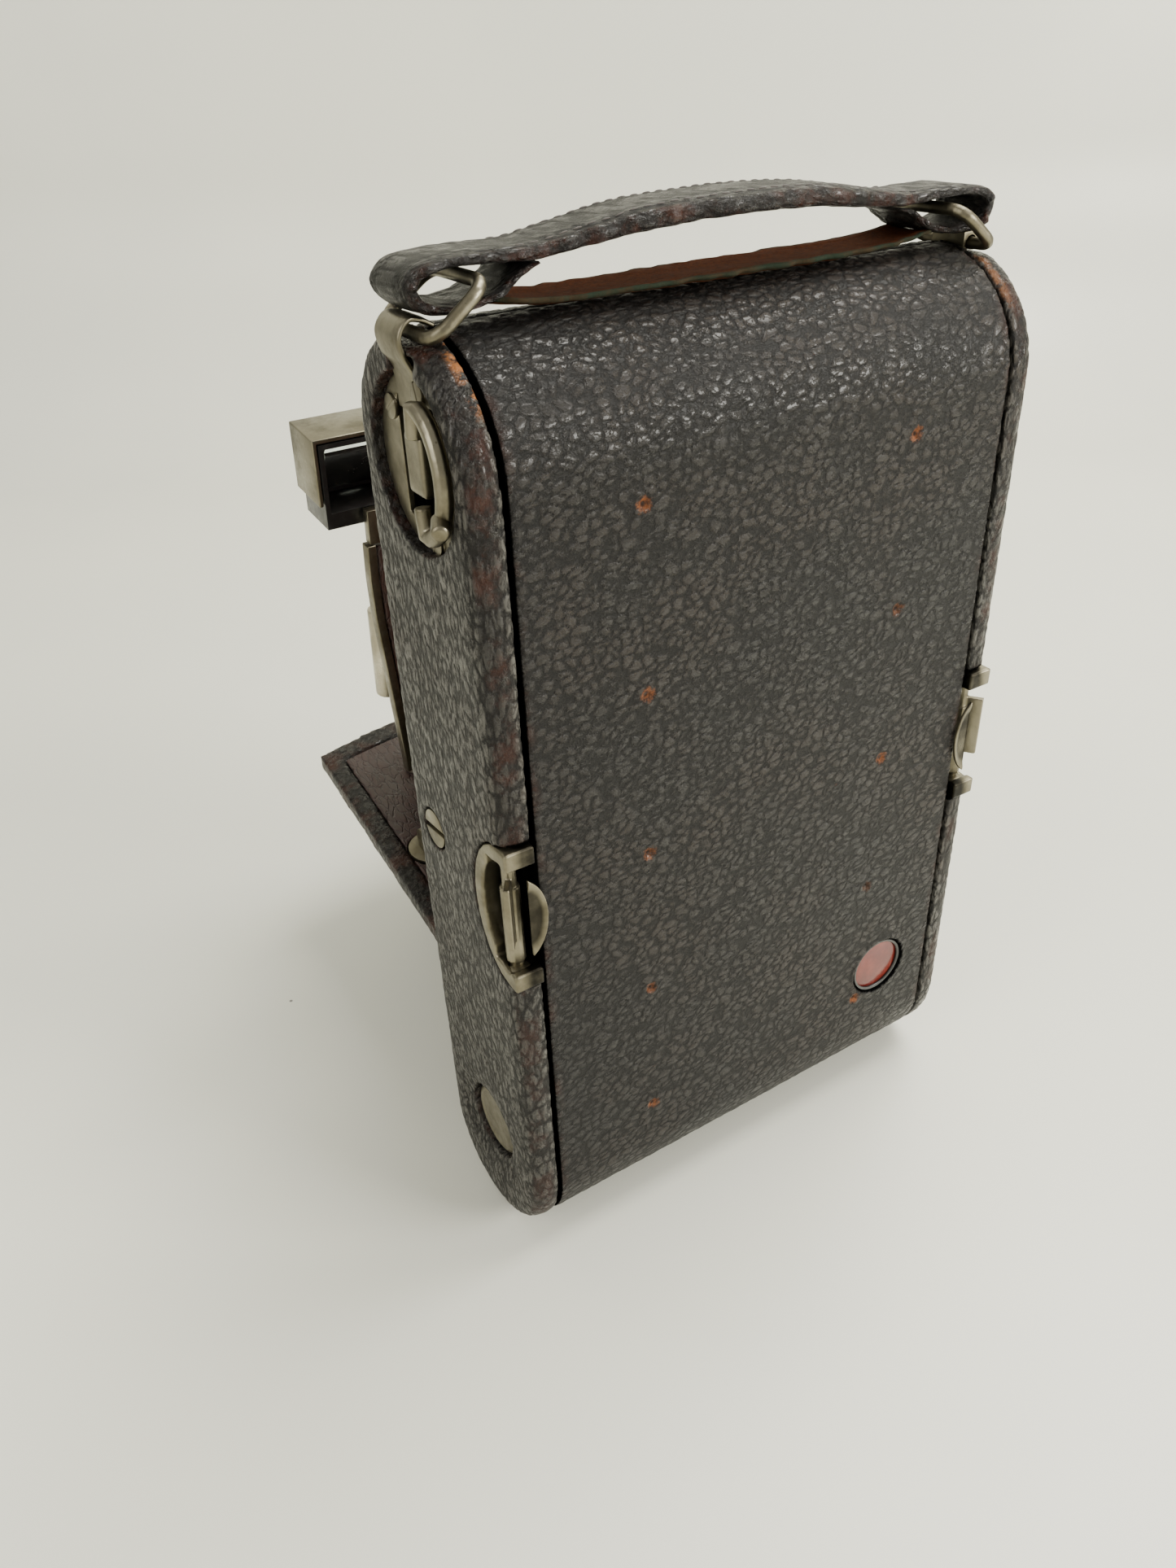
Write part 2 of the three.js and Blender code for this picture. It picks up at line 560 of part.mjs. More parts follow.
function buildStandard() {
  const frame = alongY(standardShape(0, STANDARD.top), boardFront, standardBack);
  const inside = alongY(standardShape(2.4, 90), -200, 0);
  place(bed, "standard_frame", cut(frame, inside), nickel);

  const board = alongY(standardShape(2.7, STANDARD.top - 0.6), boardFront + 0.3, standardBack - 0.2);
  const throat = cylinderY(19.6, -200, 0, 0, STANDARD.lens, 32);
  place(bed, "lens_board", cut(board, throat), maroonLeather);

  const out = -STANDARD.out;
  const plate = box(-21, 21, out - 9, out + 7, 2.5, 4.5);
  const runners = [-1, 1].map((s) => box(s * 14 - 3.4, s * 14 + 3.4, out - 8, out + 6, 2.5, 3));
  place(bed, "focus_carriage", join(plate, ...runners), nickel);
  const tongue = box(18, 22.4, out - 7.4, out - 3.4, 0.6, 2);
  const grip = join(cylinderZ(4.3, 0.6, 2, 25.2, out - 5.4, 20), tongue);
  place(bed, "focus_clamp_left", grip, nickel);
  place(bed, "focus_clamp_right", mirrorX(grip), nickel);
}

// ---- bellows ------------------------------------------------------------------------------
// Square pleats from the body's opening to the lens board, as one thin folded wall.
function buildBellows() {
  const rise = degrees(BED.rise);
  const toBody = (out, above) => [
    BED.y - out * Math.cos(rise) + above * Math.sin(rise),
    BED.z + out * Math.sin(rise) + above * Math.cos(rise),
  ];
  const [frontY, frontZ] = toBody(STANDARD.out - 5.1, STANDARD.lens);
  const back = { y: -34.6, z: MIDDLE_Z, halfX: 39.6, halfZ: 50 };
  const front = { y: frontY, z: frontZ, halfX: 26.4, halfZ: 28.4 };
  const steps = BELLOWS.pleats * 2;
  const tilt = new THREE.Vector3(0, Math.sin(rise), Math.cos(rise));
  const ring = (t, inset) => {
    const mix = (key) => back[key] + (front[key] - back[key]) * t;
    const upright = new THREE.Vector3(0, 0, 1).lerp(tilt, t).normalize();
    const centre = new THREE.Vector3(0, mix("y"), mix("z"));
    const a = mix("halfX") - inset;
    const b = mix("halfZ") - inset;
    const c = 5; // the pleats' cut corners
    const corners = [
      [a, b - c], [a - c, b], [c - a, b], [-a, b - c], [-a, c - b], [c - a, -b], [a - c, -b], [a, c - b],
    ];
    return corners.map(([x, w]) => centre.clone().addScaledVector(upright, w).setX(x));
  };
  const wall = (extra) => Array.from({ length: steps + 1 }, (_, i) =>
    ring(i / steps, (i % 2 ? BELLOWS.fold : 0) + extra));
  place(camera, "bellows", skin([...wall(0), ...wall(BELLOWS.wall).reverse()], true), maroonLeather);

  const frontFrame = rectangle(-28, 28, STANDARD.lens - 30, STANDARD.lens + 30);
  frontFrame.holes.push(disc(20.4, 0, STANDARD.lens));
  const plate = alongY(frontFrame, standardBack + GAP, standardBack + 2.4, 20);
  place(bed, "bellows_front_frame", plate, blackPaint);
}

// ---- shutter and lens, in the bed's own frame ----------------------------------------------
function turned(profile, sides = 32) {
  const points = profile.map(([r, forward]) => new THREE.Vector2(r, -forward));
  return new THREE.LatheGeometry(points, sides).translate(0, boardFront - GAP, STANDARD.lens);
}

function buildShutter() {
  const face = boardFront - GAP;
  const w = STANDARD.lens;
  const shell = turned([[12.4, 0], [27.4, 0], [27.4, 11], [26, 12.6], [12.4, 12.6], [12.4, 0]], 40);
  const dialAxis = w + 34.4;
  const dialPost = cylinderY(2.4, face - 5.1, face, 0, dialAxis, 12);
  const dialArm = box(-2.4, 2.4, face - 5.1, face, w + 26.4, dialAxis);
  place(bed, "shutter_case", join(shell, dialPost, dialArm), blackPaint);
  const ring = turned([[16, 12.9], [25.6, 12.9], [25.2, 14.4], [16.4, 14.4], [16, 12.9]], 40);
  place(bed, "shutter_face_ring", ring, nickel);
  const barrel = turned([
    [8.6, -3.2], [12.1, -3.2], [12.1, 12.6], [14.6, 13.6], [14.6, 17.4], [12.6, 19], [9.6, 19],
    [9.6, 15.4], [8.6, 15.4], [8.6, -3.2],
  ], 32);
  place(bed, "lens_barrel", barrel, brass);
  const bulge = (r, rim, middle) => Array.from({ length: 5 }, (_, i) => {
    const t = 1 - i / 4;
    return [r * t, rim + (middle - rim) * (1 - t * t)];
  });
  place(bed, "front_lens_glass", turned([[0, 15.7], [9.3, 15.7], ...bulge(9.3, 16.6, 18.2)], 24), glass);
  place(bed, "rear_lens_glass", turned([[0, -0.4], [8.3, -0.4], ...bulge(8.3, 0.4, 1.8)], 24), glass);
  [["left", 1], ["right", -1]].forEach(([side, s]) => {
    const cylinder = cylinderZ(3.3, w - 13, w + 13, s * 31.2, face - 5.4, 16);
    const cap = cylinderZ(2.2, w + 12, w + 15, s * 31.2, face - 5.4, 12);
    place(bed, `shutter_cylinder_${side}`, join(cylinder, cap), nickel);
  });
  const dial = join(cylinderY(6.2, face - 8.4, face - 5.4, 0, dialAxis, 24),
    cylinderY(3, face - 10.6, face - 8, 0, dialAxis, 16));
  place(bed, "speed_dial", dial, nickel);
  const pointer = box(-1.4, 1.4, face - 15.6, face - 14.7, w - 33, w - 21);
  const bore = cylinderY(16.2, -200, 0, 0, w, 32);
  const collar = cut(cylinderY(23.2, face - 15.6, face - 14.7, 0, w, 32), bore);
  place(bed, "aperture_lever", join(pointer, collar), nickel);
  const pin = cylinderY(1.5, face - 5.6, face - GAP, 11, w + 30, 12);
  const arm = box(11, 25, face - 5.6, face - 4.4, w + 28.8, w + 31.2);
  const pad = cylinderY(2.6, face - 6, face - 3.4, 26, w + 30, 16);
  place(bed, "release_lever", join(pin, arm, pad), nickel);
}

// ---- finder, in the bed's own frame ---------------------------------------------------------
function buildFinder() {
  const x = 32.6;
  const back = boardFront - 0.6;
  const low = STANDARD.top + 4.8;
  const foot = STANDARD.top + GAP;
  const lug = box(x - 2.6, x + 2.6, boardFront + 0.4, standardBack - 0.4, foot, low + 4.2);
  const stud = cylinderY(1.3, boardFront - 6, boardFront + 1, x, low + 1.6, 12);
  place(bed, "finder_bracket", join(lug, stud), nickel);
  const shell = box(x - 11.4, x + 11.4, back - 13.4, back, low, low + 21);
  const hollow = box(x - 10.2, x + 10.2, back - 12.2, back + 1, low + 4, low + 19.8);
  const eye = cylinderY(6.3, back - 20, back, x, low + 12, 24);
  const pivot = cylinderY(1.7, back - 6.4, back + 1, x, low + 1.6, 12);
  place(bed, "finder_body", cut(shell, hollow, eye, pivot), blackPaint);
  const outer = [[x - 12.8, low + 6], [x + 12.8, low + 6], [x + 12.8, low + 22.4], [x - 12.8, low + 22.4]];
  const inner = box(x - 11.7, x + 11.7, -200, 0, low, low + 21.3);
  place(bed, "finder_hood", cut(alongY(polygon(outer), back - 14.6, back), inner), nickel);
  place(bed, "finder_front_lens", cylinderY(6, back - 13, back - 12.5, x, low + 12, 24), glass);
  const mirror = box(-9.6, 9.6, -0.5, 0.5, -8, 8).rotateX(degrees(-40)).translate(x, back - 6.2, low + 12);
  place(bed, "finder_mirror", mirror, glass);
}

buildBody();
buildKey();
buildLatches();
buildHandle();
buildBed();
buildLeg();
buildStandard();
buildBellows();
buildShutter();
buildFinder();

// The bounding box's middle, fore and aft, is the origin.
const bounds = new THREE.Box3().setFromObject(camera);
camera.position.y = -(bounds.min.y + bounds.max.y) / 2;

export default camera;
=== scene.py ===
"""A leather-covered roll-film folding camera, worn with age, seen from behind on a pale floor.

Every fine mesh is worked up from a CAD solid, so it stays where the frame puts it. Metres.
"""
import json
import math

import bmesh
import bpy
import numpy as np
from mathutils import Matrix, Vector, noise
from mathutils.bvhtree import BVHTree

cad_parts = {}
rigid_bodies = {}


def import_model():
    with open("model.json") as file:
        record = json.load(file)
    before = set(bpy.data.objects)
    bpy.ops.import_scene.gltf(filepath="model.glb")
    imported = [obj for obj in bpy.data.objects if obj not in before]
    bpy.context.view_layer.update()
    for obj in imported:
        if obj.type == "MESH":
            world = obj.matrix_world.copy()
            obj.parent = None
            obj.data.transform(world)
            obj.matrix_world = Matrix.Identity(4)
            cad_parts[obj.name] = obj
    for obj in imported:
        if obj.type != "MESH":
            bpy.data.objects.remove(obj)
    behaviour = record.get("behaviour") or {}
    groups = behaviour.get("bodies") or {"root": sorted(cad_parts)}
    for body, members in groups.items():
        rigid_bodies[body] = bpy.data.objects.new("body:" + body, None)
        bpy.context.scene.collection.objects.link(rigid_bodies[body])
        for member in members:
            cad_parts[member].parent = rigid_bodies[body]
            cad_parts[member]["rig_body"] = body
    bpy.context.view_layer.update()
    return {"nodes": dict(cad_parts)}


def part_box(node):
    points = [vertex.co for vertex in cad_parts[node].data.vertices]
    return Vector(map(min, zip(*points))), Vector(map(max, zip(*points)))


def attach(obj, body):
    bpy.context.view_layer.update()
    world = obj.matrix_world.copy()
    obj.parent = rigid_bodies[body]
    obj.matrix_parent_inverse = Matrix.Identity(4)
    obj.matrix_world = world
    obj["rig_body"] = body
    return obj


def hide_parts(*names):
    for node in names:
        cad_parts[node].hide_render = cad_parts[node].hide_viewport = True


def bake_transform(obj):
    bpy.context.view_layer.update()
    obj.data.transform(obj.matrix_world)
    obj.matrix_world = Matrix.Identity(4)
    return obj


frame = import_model()
MM = 0.001
noise.seed_set(1)  # unseeded, noise_vector takes its offsets from the clock


# ---- places that the frame gives -----------------------------------------------------------
def middle(node):
    low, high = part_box(node)
    return (low + high) / 2


BACK_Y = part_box("back_cover")[1].y
COVER_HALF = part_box("back_cover")[1].x
BODY_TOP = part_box("side_shell_left")[1].z
BED_RISE = math.radians(6)
OUTWARD = Vector((0, -math.cos(BED_RISE), math.sin(BED_RISE)))  # along the bed, and the lens axis
STANDOFF = Vector((0, math.sin(BED_RISE), math.cos(BED_RISE)))  # square to the bed
LENS = middle("lens_barrel")
# The cover's ten rivets: two rows of five, half_gauge each side of a line just off the middle.
RIVETS = {"off_centre": 0.65 * MM, "half_gauge": 29.85 * MM, "first": 31.7 * MM, "pitch": 34.5 * MM}
RIVETS_IN_ROW = 5
# Half sizes of the well under the winding key, and the latch's pocket, whose walls are painted black as
# shade.
WELL = {"half_width": 7.4 * MM, "half_height": 10.4 * MM, "face": 57.3 * MM}
POCKET = {"depth": 14.4 * MM, "height": 97.5 * MM, "half_height": 17 * MM, "face": 59.0 * MM}
SHELL_SEAM = 54.25 * MM
# The pebbled grain: a pebble's width, and how much it is squeezed along x, y and z.
PEBBLE = 2.0 * MM
COVER_GRAIN, SIDE_GRAIN = (0.78, 1.0, 1.25), (1.2, 1.7, 0.55)
PLAIN_GRAIN, STRAP_GRAIN = (1.0, 1.0, 1.0), (0.45, 2.0, 1.4)
GRAIN_LEVEL = 0.7  # the height in the grain that keeps the surface where it was
WAVE_HEIGHT = 0.08 * MM


# ---- shader helper -------------------------------------------------------------------------
class Shader:
    """A Principled material whose textures are placed by object coordinates."""

    def __init__(self, name, **uniform):
        self.material = bpy.data.materials.new(name)
        self.material.use_nodes = True
        self.tree = self.material.node_tree
        self.bsdf = self.tree.nodes["Principled BSDF"]
        self.place = self.tree.nodes.new("ShaderNodeTexCoord").outputs["Object"]
        for socket, value in uniform.items():
            self.bsdf.inputs[socket.replace("_", " ")].default_value = value

    def node(self, kind, inputs, **settings):
        made = self.tree.nodes.new(kind)
        for key, value in settings.items():
            setattr(made, key, value)
        for key, value in inputs.items():
            if isinstance(value, bpy.types.NodeSocket):
                self.tree.links.new(value, made.inputs[key])
            else:
                made.inputs[key].default_value = value
        return made

    def math(self, operation, a, b=0.0):
        return self.node("ShaderNodeMath", {0: a, 1: b}, operation=operation).outputs[0]

    def axis(self, letter):
        return self.node("ShaderNodeSeparateXYZ", {0: self.place}).outputs[letter]

    def stretched(self, scale):
        return self.node("ShaderNodeMapping", {"Vector": self.place, "Scale": scale}).outputs[0]

    def noise(self, scale, detail=4.0, rough=0.55, vector=None):
        inputs = {"Vector": vector or self.place, "Scale": scale, "Detail": detail, "Roughness": rough}
        return self.node("ShaderNodeTexNoise", inputs).outputs[0]

    def warped(self, vector, scale, amount):
        """The vector, pushed about by noise, so that cells and streaks aren't regular."""
        cloud = self.node("ShaderNodeTexNoise", {"Vector": vector, "Scale": scale, "Detail": 2.0})
        shift = self.node(
            "ShaderNodeVectorMath", {0: cloud.outputs["Color"], 1: (0.5,) * 3}, operation="SUBTRACT")
        part = self.node("ShaderNodeVectorMath", {0: shift.outputs[0], "Scale": amount}, operation="SCALE")
        return self.node("ShaderNodeVectorMath", {0: vector, 1: part.outputs[0]}).outputs[0]

    def cells(self, vector, scale):
        """0 in the creases between pebbles, rising over each pebble."""
        made = self.node(
            "ShaderNodeTexVoronoi", {"Vector": vector, "Scale": scale}, feature="DISTANCE_TO_EDGE")
        return made.outputs["Distance"]

    def ramp(self, value, low, high, start=0.0, end=1.0):
        inputs = {"Value": value, "From Min": low, "From Max": high, "To Min": start, "To Max": end}
        return self.node("ShaderNodeMapRange", inputs, interpolation_type="SMOOTHSTEP").outputs[0]

    def mix(self, factor, a, b):
        paint = [v if isinstance(v, bpy.types.NodeSocket) else (*v, 1.0) for v in (a, b)]
        made = self.node("ShaderNodeMix", {0: factor, 6: paint[0], 7: paint[1]}, data_type="RGBA")
        return made.outputs[2]

    def attribute(self, name):
        return self.node("ShaderNodeAttribute", {}, attribute_name=name).outputs["Fac"]

    def bump(self, height, distance, strength=1.0, normal=None):
        inputs = {"Height": height, "Distance": distance, "Strength": strength}
        if normal:
            inputs["Normal"] = normal
        return self.node("ShaderNodeBump", inputs).outputs[0]

    def paint(self, **outputs):
        for socket, value in outputs.items():
            self.tree.links.new(value, self.bsdf.inputs[socket.replace("_", " ")])
        return self.material


# ---- materials -----------------------------------------------------------------------------
INK = (0.005, 0.0045, 0.004)
CHARCOAL = (0.0095, 0.0085, 0.0075)
DRY_BROWN = (0.014, 0.010, 0.008)
HAIRLINE = (0.11, 0.088, 0.066)
RIM_BLACK = (0.0055, 0.0040, 0.0034)
RIM_BROWN = (0.032, 0.0095, 0.005)
BARE_TAN = (0.30, 0.115, 0.034)
RIVET_RUST = (0.24, 0.078, 0.024)
VERDIGRIS = (0.030, 0.17, 0.14)
RECESS_SHADE_BLACK = (0.010, 0.009, 0.007)
SEAM_AND_SHADE_BLACK = (0.002, 0.002, 0.002)
SCUFF_BROWN = (0.12, 0.042, 0.020)
STAIN_BROWN = (0.060, 0.026, 0.012)
NICKEL_SHINE = (0.235, 0.213, 0.155)
NICKEL_TARNISH = (0.120, 0.106, 0.070)


def rivet_distance(shader):
    """Distance from the nearest rivet, on the cover's outer face, and far off elsewhere."""
    across = shader.math("ABSOLUTE", shader.math("ADD", shader.axis("X"), RIVETS["off_centre"]))
    dx = shader.math("SUBTRACT", across, RIVETS["half_gauge"])
    dz = shader.node("ShaderNodeMath", {
        0: shader.math("SUBTRACT", shader.axis("Z"), RIVETS["first"]),
        1: -RIVETS["pitch"] / 2, 2: RIVETS["pitch"] / 2}, operation="WRAP").outputs[0]
    square = shader.math("ADD", shader.math("MULTIPLY", dx, dx), shader.math("MULTIPLY", dz, dz))
    near = shader.math("SQRT", square)
    on_back = shader.ramp(shader.axis("Y"), BACK_Y - 2 * MM, BACK_Y - 0.9 * MM)
    last = RIVETS["first"] + (RIVETS_IN_ROW - 0.5) * RIVETS["pitch"]
    inside = shader.math("LESS_THAN", shader.axis("Z"), last)
    above = shader.math("GREATER_THAN", shader.axis("Z"), RIVETS["first"] - 0.5 * RIVETS["pitch"])
    shown = shader.math("MULTIPLY", on_back, shader.math("MULTIPLY", inside, above))
    return shader.math("ADD", near, shader.math("SUBTRACT", 1.0, shown))


def body_leather(name, stretch, crown, dry, rivets=False):
    """Black pebbled leather: crowns a little glossier than creases, creases painted darker partly as
    shade, and brown where it is worn.
    """
    s = Shader(name)
    grain = s.attribute("grain")
    vector = s.warped(s.stretched(stretch), 500.0, 0.0016)
    wrinkles = s.math("ABSOLUTE", s.math("SUBTRACT", s.noise(900.0, 5.0, 0.65, vector), 0.5))
    pores = s.noise(3200.0, 3.0, 0.6)
    patches = s.noise(26.0, 5.0, 0.6)
    tops = s.ramp(s.math("ADD", grain, s.ramp(pores, 0.3, 0.7, -0.12, 0.12)), 0.15, 0.75)
    lighter_share = s.math("MULTIPLY", tops, s.ramp(wrinkles, 0.002, 0.045, 0.10, 1.0))
    # Creases and wrinkles near black: partly the grain's own dark, partly painted shade in the creases;
    # crowns take the lighter tone.
    colour = s.mix(lighter_share, INK, s.mix(s.ramp(patches, 0.38, 0.66), crown, dry))
    colour = s.mix(s.math("MULTIPLY", s.attribute("wear"), 0.9), colour, RIM_BLACK)
    lines = s.ramp(wrinkles, 0.002, 0.012, 1.0, 0.0)
    hairs = s.math("MULTIPLY", lines, s.ramp(patches, 0.42, 0.62, 0.1, 0.7))
    colour = s.mix(s.math("MULTIPLY", hairs, tops), colour, HAIRLINE)
    blotches = s.ramp(s.noise(130.0, 7.0, 0.72), 0.46, 0.64)
    colour = s.mix(s.math("MULTIPLY", s.attribute("wear"), blotches), colour, RIM_BROWN)
    bare = s.math("MULTIPLY", s.attribute("bare"), s.ramp(s.noise(260.0, 6.0, 0.72), 0.45, 0.55))
    colour = s.mix(bare, colour, BARE_TAN)
    scuffs = s.ramp(s.noise(190.0, 8.0, 0.75), 0.69, 0.74)
    colour = s.mix(s.math("MULTIPLY", scuffs, 0.6), colour, SCUFF_BROWN)
    # Black where the attribute says: dark seams along the cover's edges, and painted shade in the latch
    # pockets, the key's well and the window's hole.
    colour = s.mix(s.attribute("seam_and_shade"), colour, SEAM_AND_SHADE_BLACK)
    if rivets:
        jitter = s.math("SUBTRACT", s.noise(700.0, 5.0, 0.75), 0.5)
        ragged = s.math("ADD", rivet_distance(s), s.math("MULTIPLY", jitter, 4.4 * MM))
        rusty = s.ramp(ragged, 0.5 * MM, 1.7 * MM, 0.9, 0.0)
        colour = s.mix(rusty, colour, s.mix(s.ramp(patches, 0.4, 0.6), STAIN_BROWN, RIVET_RUST))
        centre = s.ramp(ragged, -0.4 * MM, 0.5 * MM, 1.0, 0.0)
        green = s.math("MULTIPLY", centre, s.ramp(jitter, -0.02, 0.10))
        colour = s.mix(green, colour, VERDIGRIS)
        colour = s.mix(s.ramp(rivet_distance(s), 0.2 * MM, 0.8 * MM, 0.9, 0.0), colour, INK)
    smooth = s.math("MULTIPLY", s.attribute("wear"), 0.12)
    rough = s.math("SUBTRACT", s.ramp(lighter_share, 0.0, 1.0, 0.44, 0.31), smooth)
    rough = s.math("ADD", rough, s.ramp(patches, 0.3, 0.7, -0.03, 0.07))
    height = s.math("ADD", tops, s.ramp(wrinkles, 0.0, 0.06, 0.0, 0.45))
    normal = s.bump(height, 0.00013)
    normal = s.bump(pores, 0.00004, 0.6, normal)
    gloss = s.math("MULTIPLY", s.ramp(lighter_share, 0.0, 1.0, 0.20, 0.34),
                   s.ramp(s.attribute("seam_and_shade"), 0.0, 1.0, 1.0, 0.0))
    return s.paint(Base_Color=colour, Roughness=rough, Normal=normal, Specular_IOR_Level=gloss)


def smooth_leather(name, dark, light, streak, sheen=0.0):
    """Thin dressed leather: fine creases, with lighter rubbed streaks along one axis."""
    s = Shader(name, Sheen_Weight=sheen, Sheen_Roughness=0.5)
    along = s.warped(s.stretched(streak), 120.0, 0.004)
    streaks = s.noise(300.0, 7.0, 0.68, along)
    patches = s.noise(45.0, 4.0, 0.6)
    creases = s.cells(s.warped(s.stretched(streak), 400.0, 0.003), 520.0)
    lighter_share = s.math("ADD", s.ramp(streaks, 0.35, 0.68, 0.0, 0.75), s.ramp(patches, 0.4, 0.7, 0.0, 0.25))
    colour = s.mix(lighter_share, dark, light)
    colour = s.mix(s.ramp(creases, 0.0, 0.05, 0.65, 0.0), colour, INK)
    colour = s.mix(s.math("MULTIPLY", s.attribute("wear"), s.ramp(patches, 0.3, 0.6)), colour, RIM_BROWN)
    rough = s.ramp(streaks, 0.3, 0.7, 0.42, 0.62)
    normal = s.bump(s.math("ADD", s.ramp(creases, 0.0, 0.12), streaks), 0.00022, 0.8)
    return s.paint(Base_Color=colour, Roughness=rough, Normal=normal)


def suede():
    s = Shader("suede_underside", Specular_IOR_Level=0.06)
    nap = s.noise(1500.0, 5.0, 0.7)
    damp = s.ramp(s.noise(160.0, 4.0, 0.6), 0.42, 0.60, 0.7, 1.0)
    colour = s.mix(s.ramp(nap, 0.3, 0.7), (0.040, 0.011, 0.004), (0.090, 0.026, 0.008))
    colour = s.mix(s.math("MULTIPLY", s.attribute("wear"), damp), colour, (0.018, 0.026, 0.017))
    return s.paint(Base_Color=colour, Roughness=s.ramp(nap, 0.2, 0.8, 0.85, 0.97),
                   Normal=s.bump(nap, 0.0002))


def metal(name, bright, dull, spots, rough=0.34):
    """Satin plated metal with tarnish clouds, dark specks, and near-black painted shade in the recesses
    that the attribute marks.
    """
    s = Shader(name, Metallic=1.0)
    clouds = s.noise(85.0, 6.0, 0.62)
    wiped = s.noise(900.0, 3.0, 0.6)
    specks = s.ramp(s.noise(1100.0, 4.0, 0.7), 0.66, 0.72)
    colour = s.mix(s.ramp(clouds, 0.36, 0.68), bright, dull)
    colour = s.mix(s.math("MULTIPLY", specks, 0.7), colour, spots)
    # Painted shade: near black in the recesses the attribute marks.
    recess_shade = s.math("MULTIPLY", s.attribute("recess_shade"), s.ramp(clouds, 0.25, 0.6, 0.6, 1.0))
    colour = s.mix(recess_shade, colour, RECESS_SHADE_BLACK)
    roughness = s.math("ADD", s.ramp(clouds, 0.3, 0.7, rough - 0.04, rough + 0.14),
                       s.ramp(wiped, 0.3, 0.7, -0.04, 0.05))
    normal = s.bump(s.math("ADD", wiped, clouds), 0.00003)
    return s.paint(Base_Color=colour, Roughness=roughness, Normal=normal)


def enamel():
    s = Shader("black_enamel", Specular_IOR_Level=0.5, Coat_Weight=0.25, Coat_Roughness=0.15)
    dust = s.noise(420.0, 6.0, 0.7)
    chips = s.ramp(s.noise(260.0, 7.0, 0.75), 0.69, 0.72)
    colour = s.mix(s.ramp(dust, 0.45, 0.8, 0.0, 0.6), (0.006, 0.006, 0.006), (0.030, 0.028, 0.024))
    colour = s.mix(s.math("MULTIPLY", chips, 0.6), colour, (0.12, 0.10, 0.06))
    return s.paint(Base_Color=colour, Roughness=s.ramp(dust, 0.3, 0.7, 0.30, 0.50),
                   Normal=s.bump(dust, 0.00004))


def wood():
    s = Shader("dark_varnished_wood")
    grain = s.noise(240.0, 8.0, 0.65, s.stretched((0.12, 1, 1)))
    colour = s.mix(s.ramp(grain, 0.35, 0.65), (0.020, 0.010, 0.006), (0.075, 0.036, 0.018))
    return s.paint(Base_Color=colour, Roughness=s.ramp(grain, 0.3, 0.7, 0.38, 0.58),
                   Normal=s.bump(grain, 0.00008))


def glass(name, tint, transmission, rough):
    s = Shader(name, Transmission_Weight=transmission, IOR=1.5)
    haze = s.noise(300.0, 5.0, 0.6)
    shade = tuple(c * 0.82 for c in tint)
    return s.paint(Base_Color=s.mix(s.ramp(haze, 0.4, 0.7), tint, shade),
                   Roughness=s.ramp(haze, 0.35, 0.75, rough, rough + 0.10))


def ruby():
    """Red celluloid over black paper: deep, glossy, a little cloudy."""
    s = Shader("ruby_celluloid", Specular_IOR_Level=0.4, Coat_Weight=0.15, Coat_Roughness=0.1,
               Subsurface_Weight=0.12)
    s.bsdf.inputs["Subsurface Radius"].default_value = (0.002, 0.0004, 0.0002)
    cloud = s.noise(170.0, 5.0, 0.6)
    scratches = s.ramp(s.noise(1000.0, 2.0, 0.5, s.stretched((1, 1, 0.12))), 0.66, 0.72)
    colour = s.mix(s.ramp(cloud, 0.35, 0.7), (0.10, 0.011, 0.008), (0.19, 0.030, 0.020))
    colour = s.mix(s.math("MULTIPLY", scratches, 0.3), colour, (0.30, 0.12, 0.09))
    return s.paint(Base_Color=colour, Roughness=s.ramp(cloud, 0.3, 0.7, 0.12, 0.26))


def thread():
    s = Shader("waxed_thread", Sheen_Weight=0.3)
    fibres = s.noise(4000.0, 3.0, 0.7)
    colour = s.mix(s.ramp(fibres, 0.3, 0.7), (0.014, 0.011, 0.009), (0.055, 0.042, 0.034))
    return s.paint(Base_Color=colour, Roughness=s.ramp(fibres, 0.2, 0.8, 0.65, 0.85))


def floor_paint():
    """Off-white gloss board with a few dark crumbs and faint wiping marks."""
    s = Shader("pale_board", Specular_IOR_Level=0.45)
    wash = s.noise(3.0, 4.0, 0.5)
    crumb = s.node("ShaderNodeTexVoronoi", {"Vector": s.place, "Scale": 55.0}).outputs["Distance"]
    rare = s.ramp(s.noise(31.0, 2.0, 0.5), 0.60, 0.66)
    crumbs = s.math("MULTIPLY", s.ramp(crumb, 0.018, 0.034, 1.0, 0.0), rare)
    colour = s.mix(s.ramp(wash, 0.35, 0.65), (0.76, 0.755, 0.665), (0.71, 0.71, 0.63))
    colour = s.mix(s.math("MULTIPLY", crumbs, 0.8), colour, (0.06, 0.05, 0.05))
    return s.paint(Base_Color=colour, Roughness=s.ramp(wash, 0.3, 0.7, 0.30, 0.42))


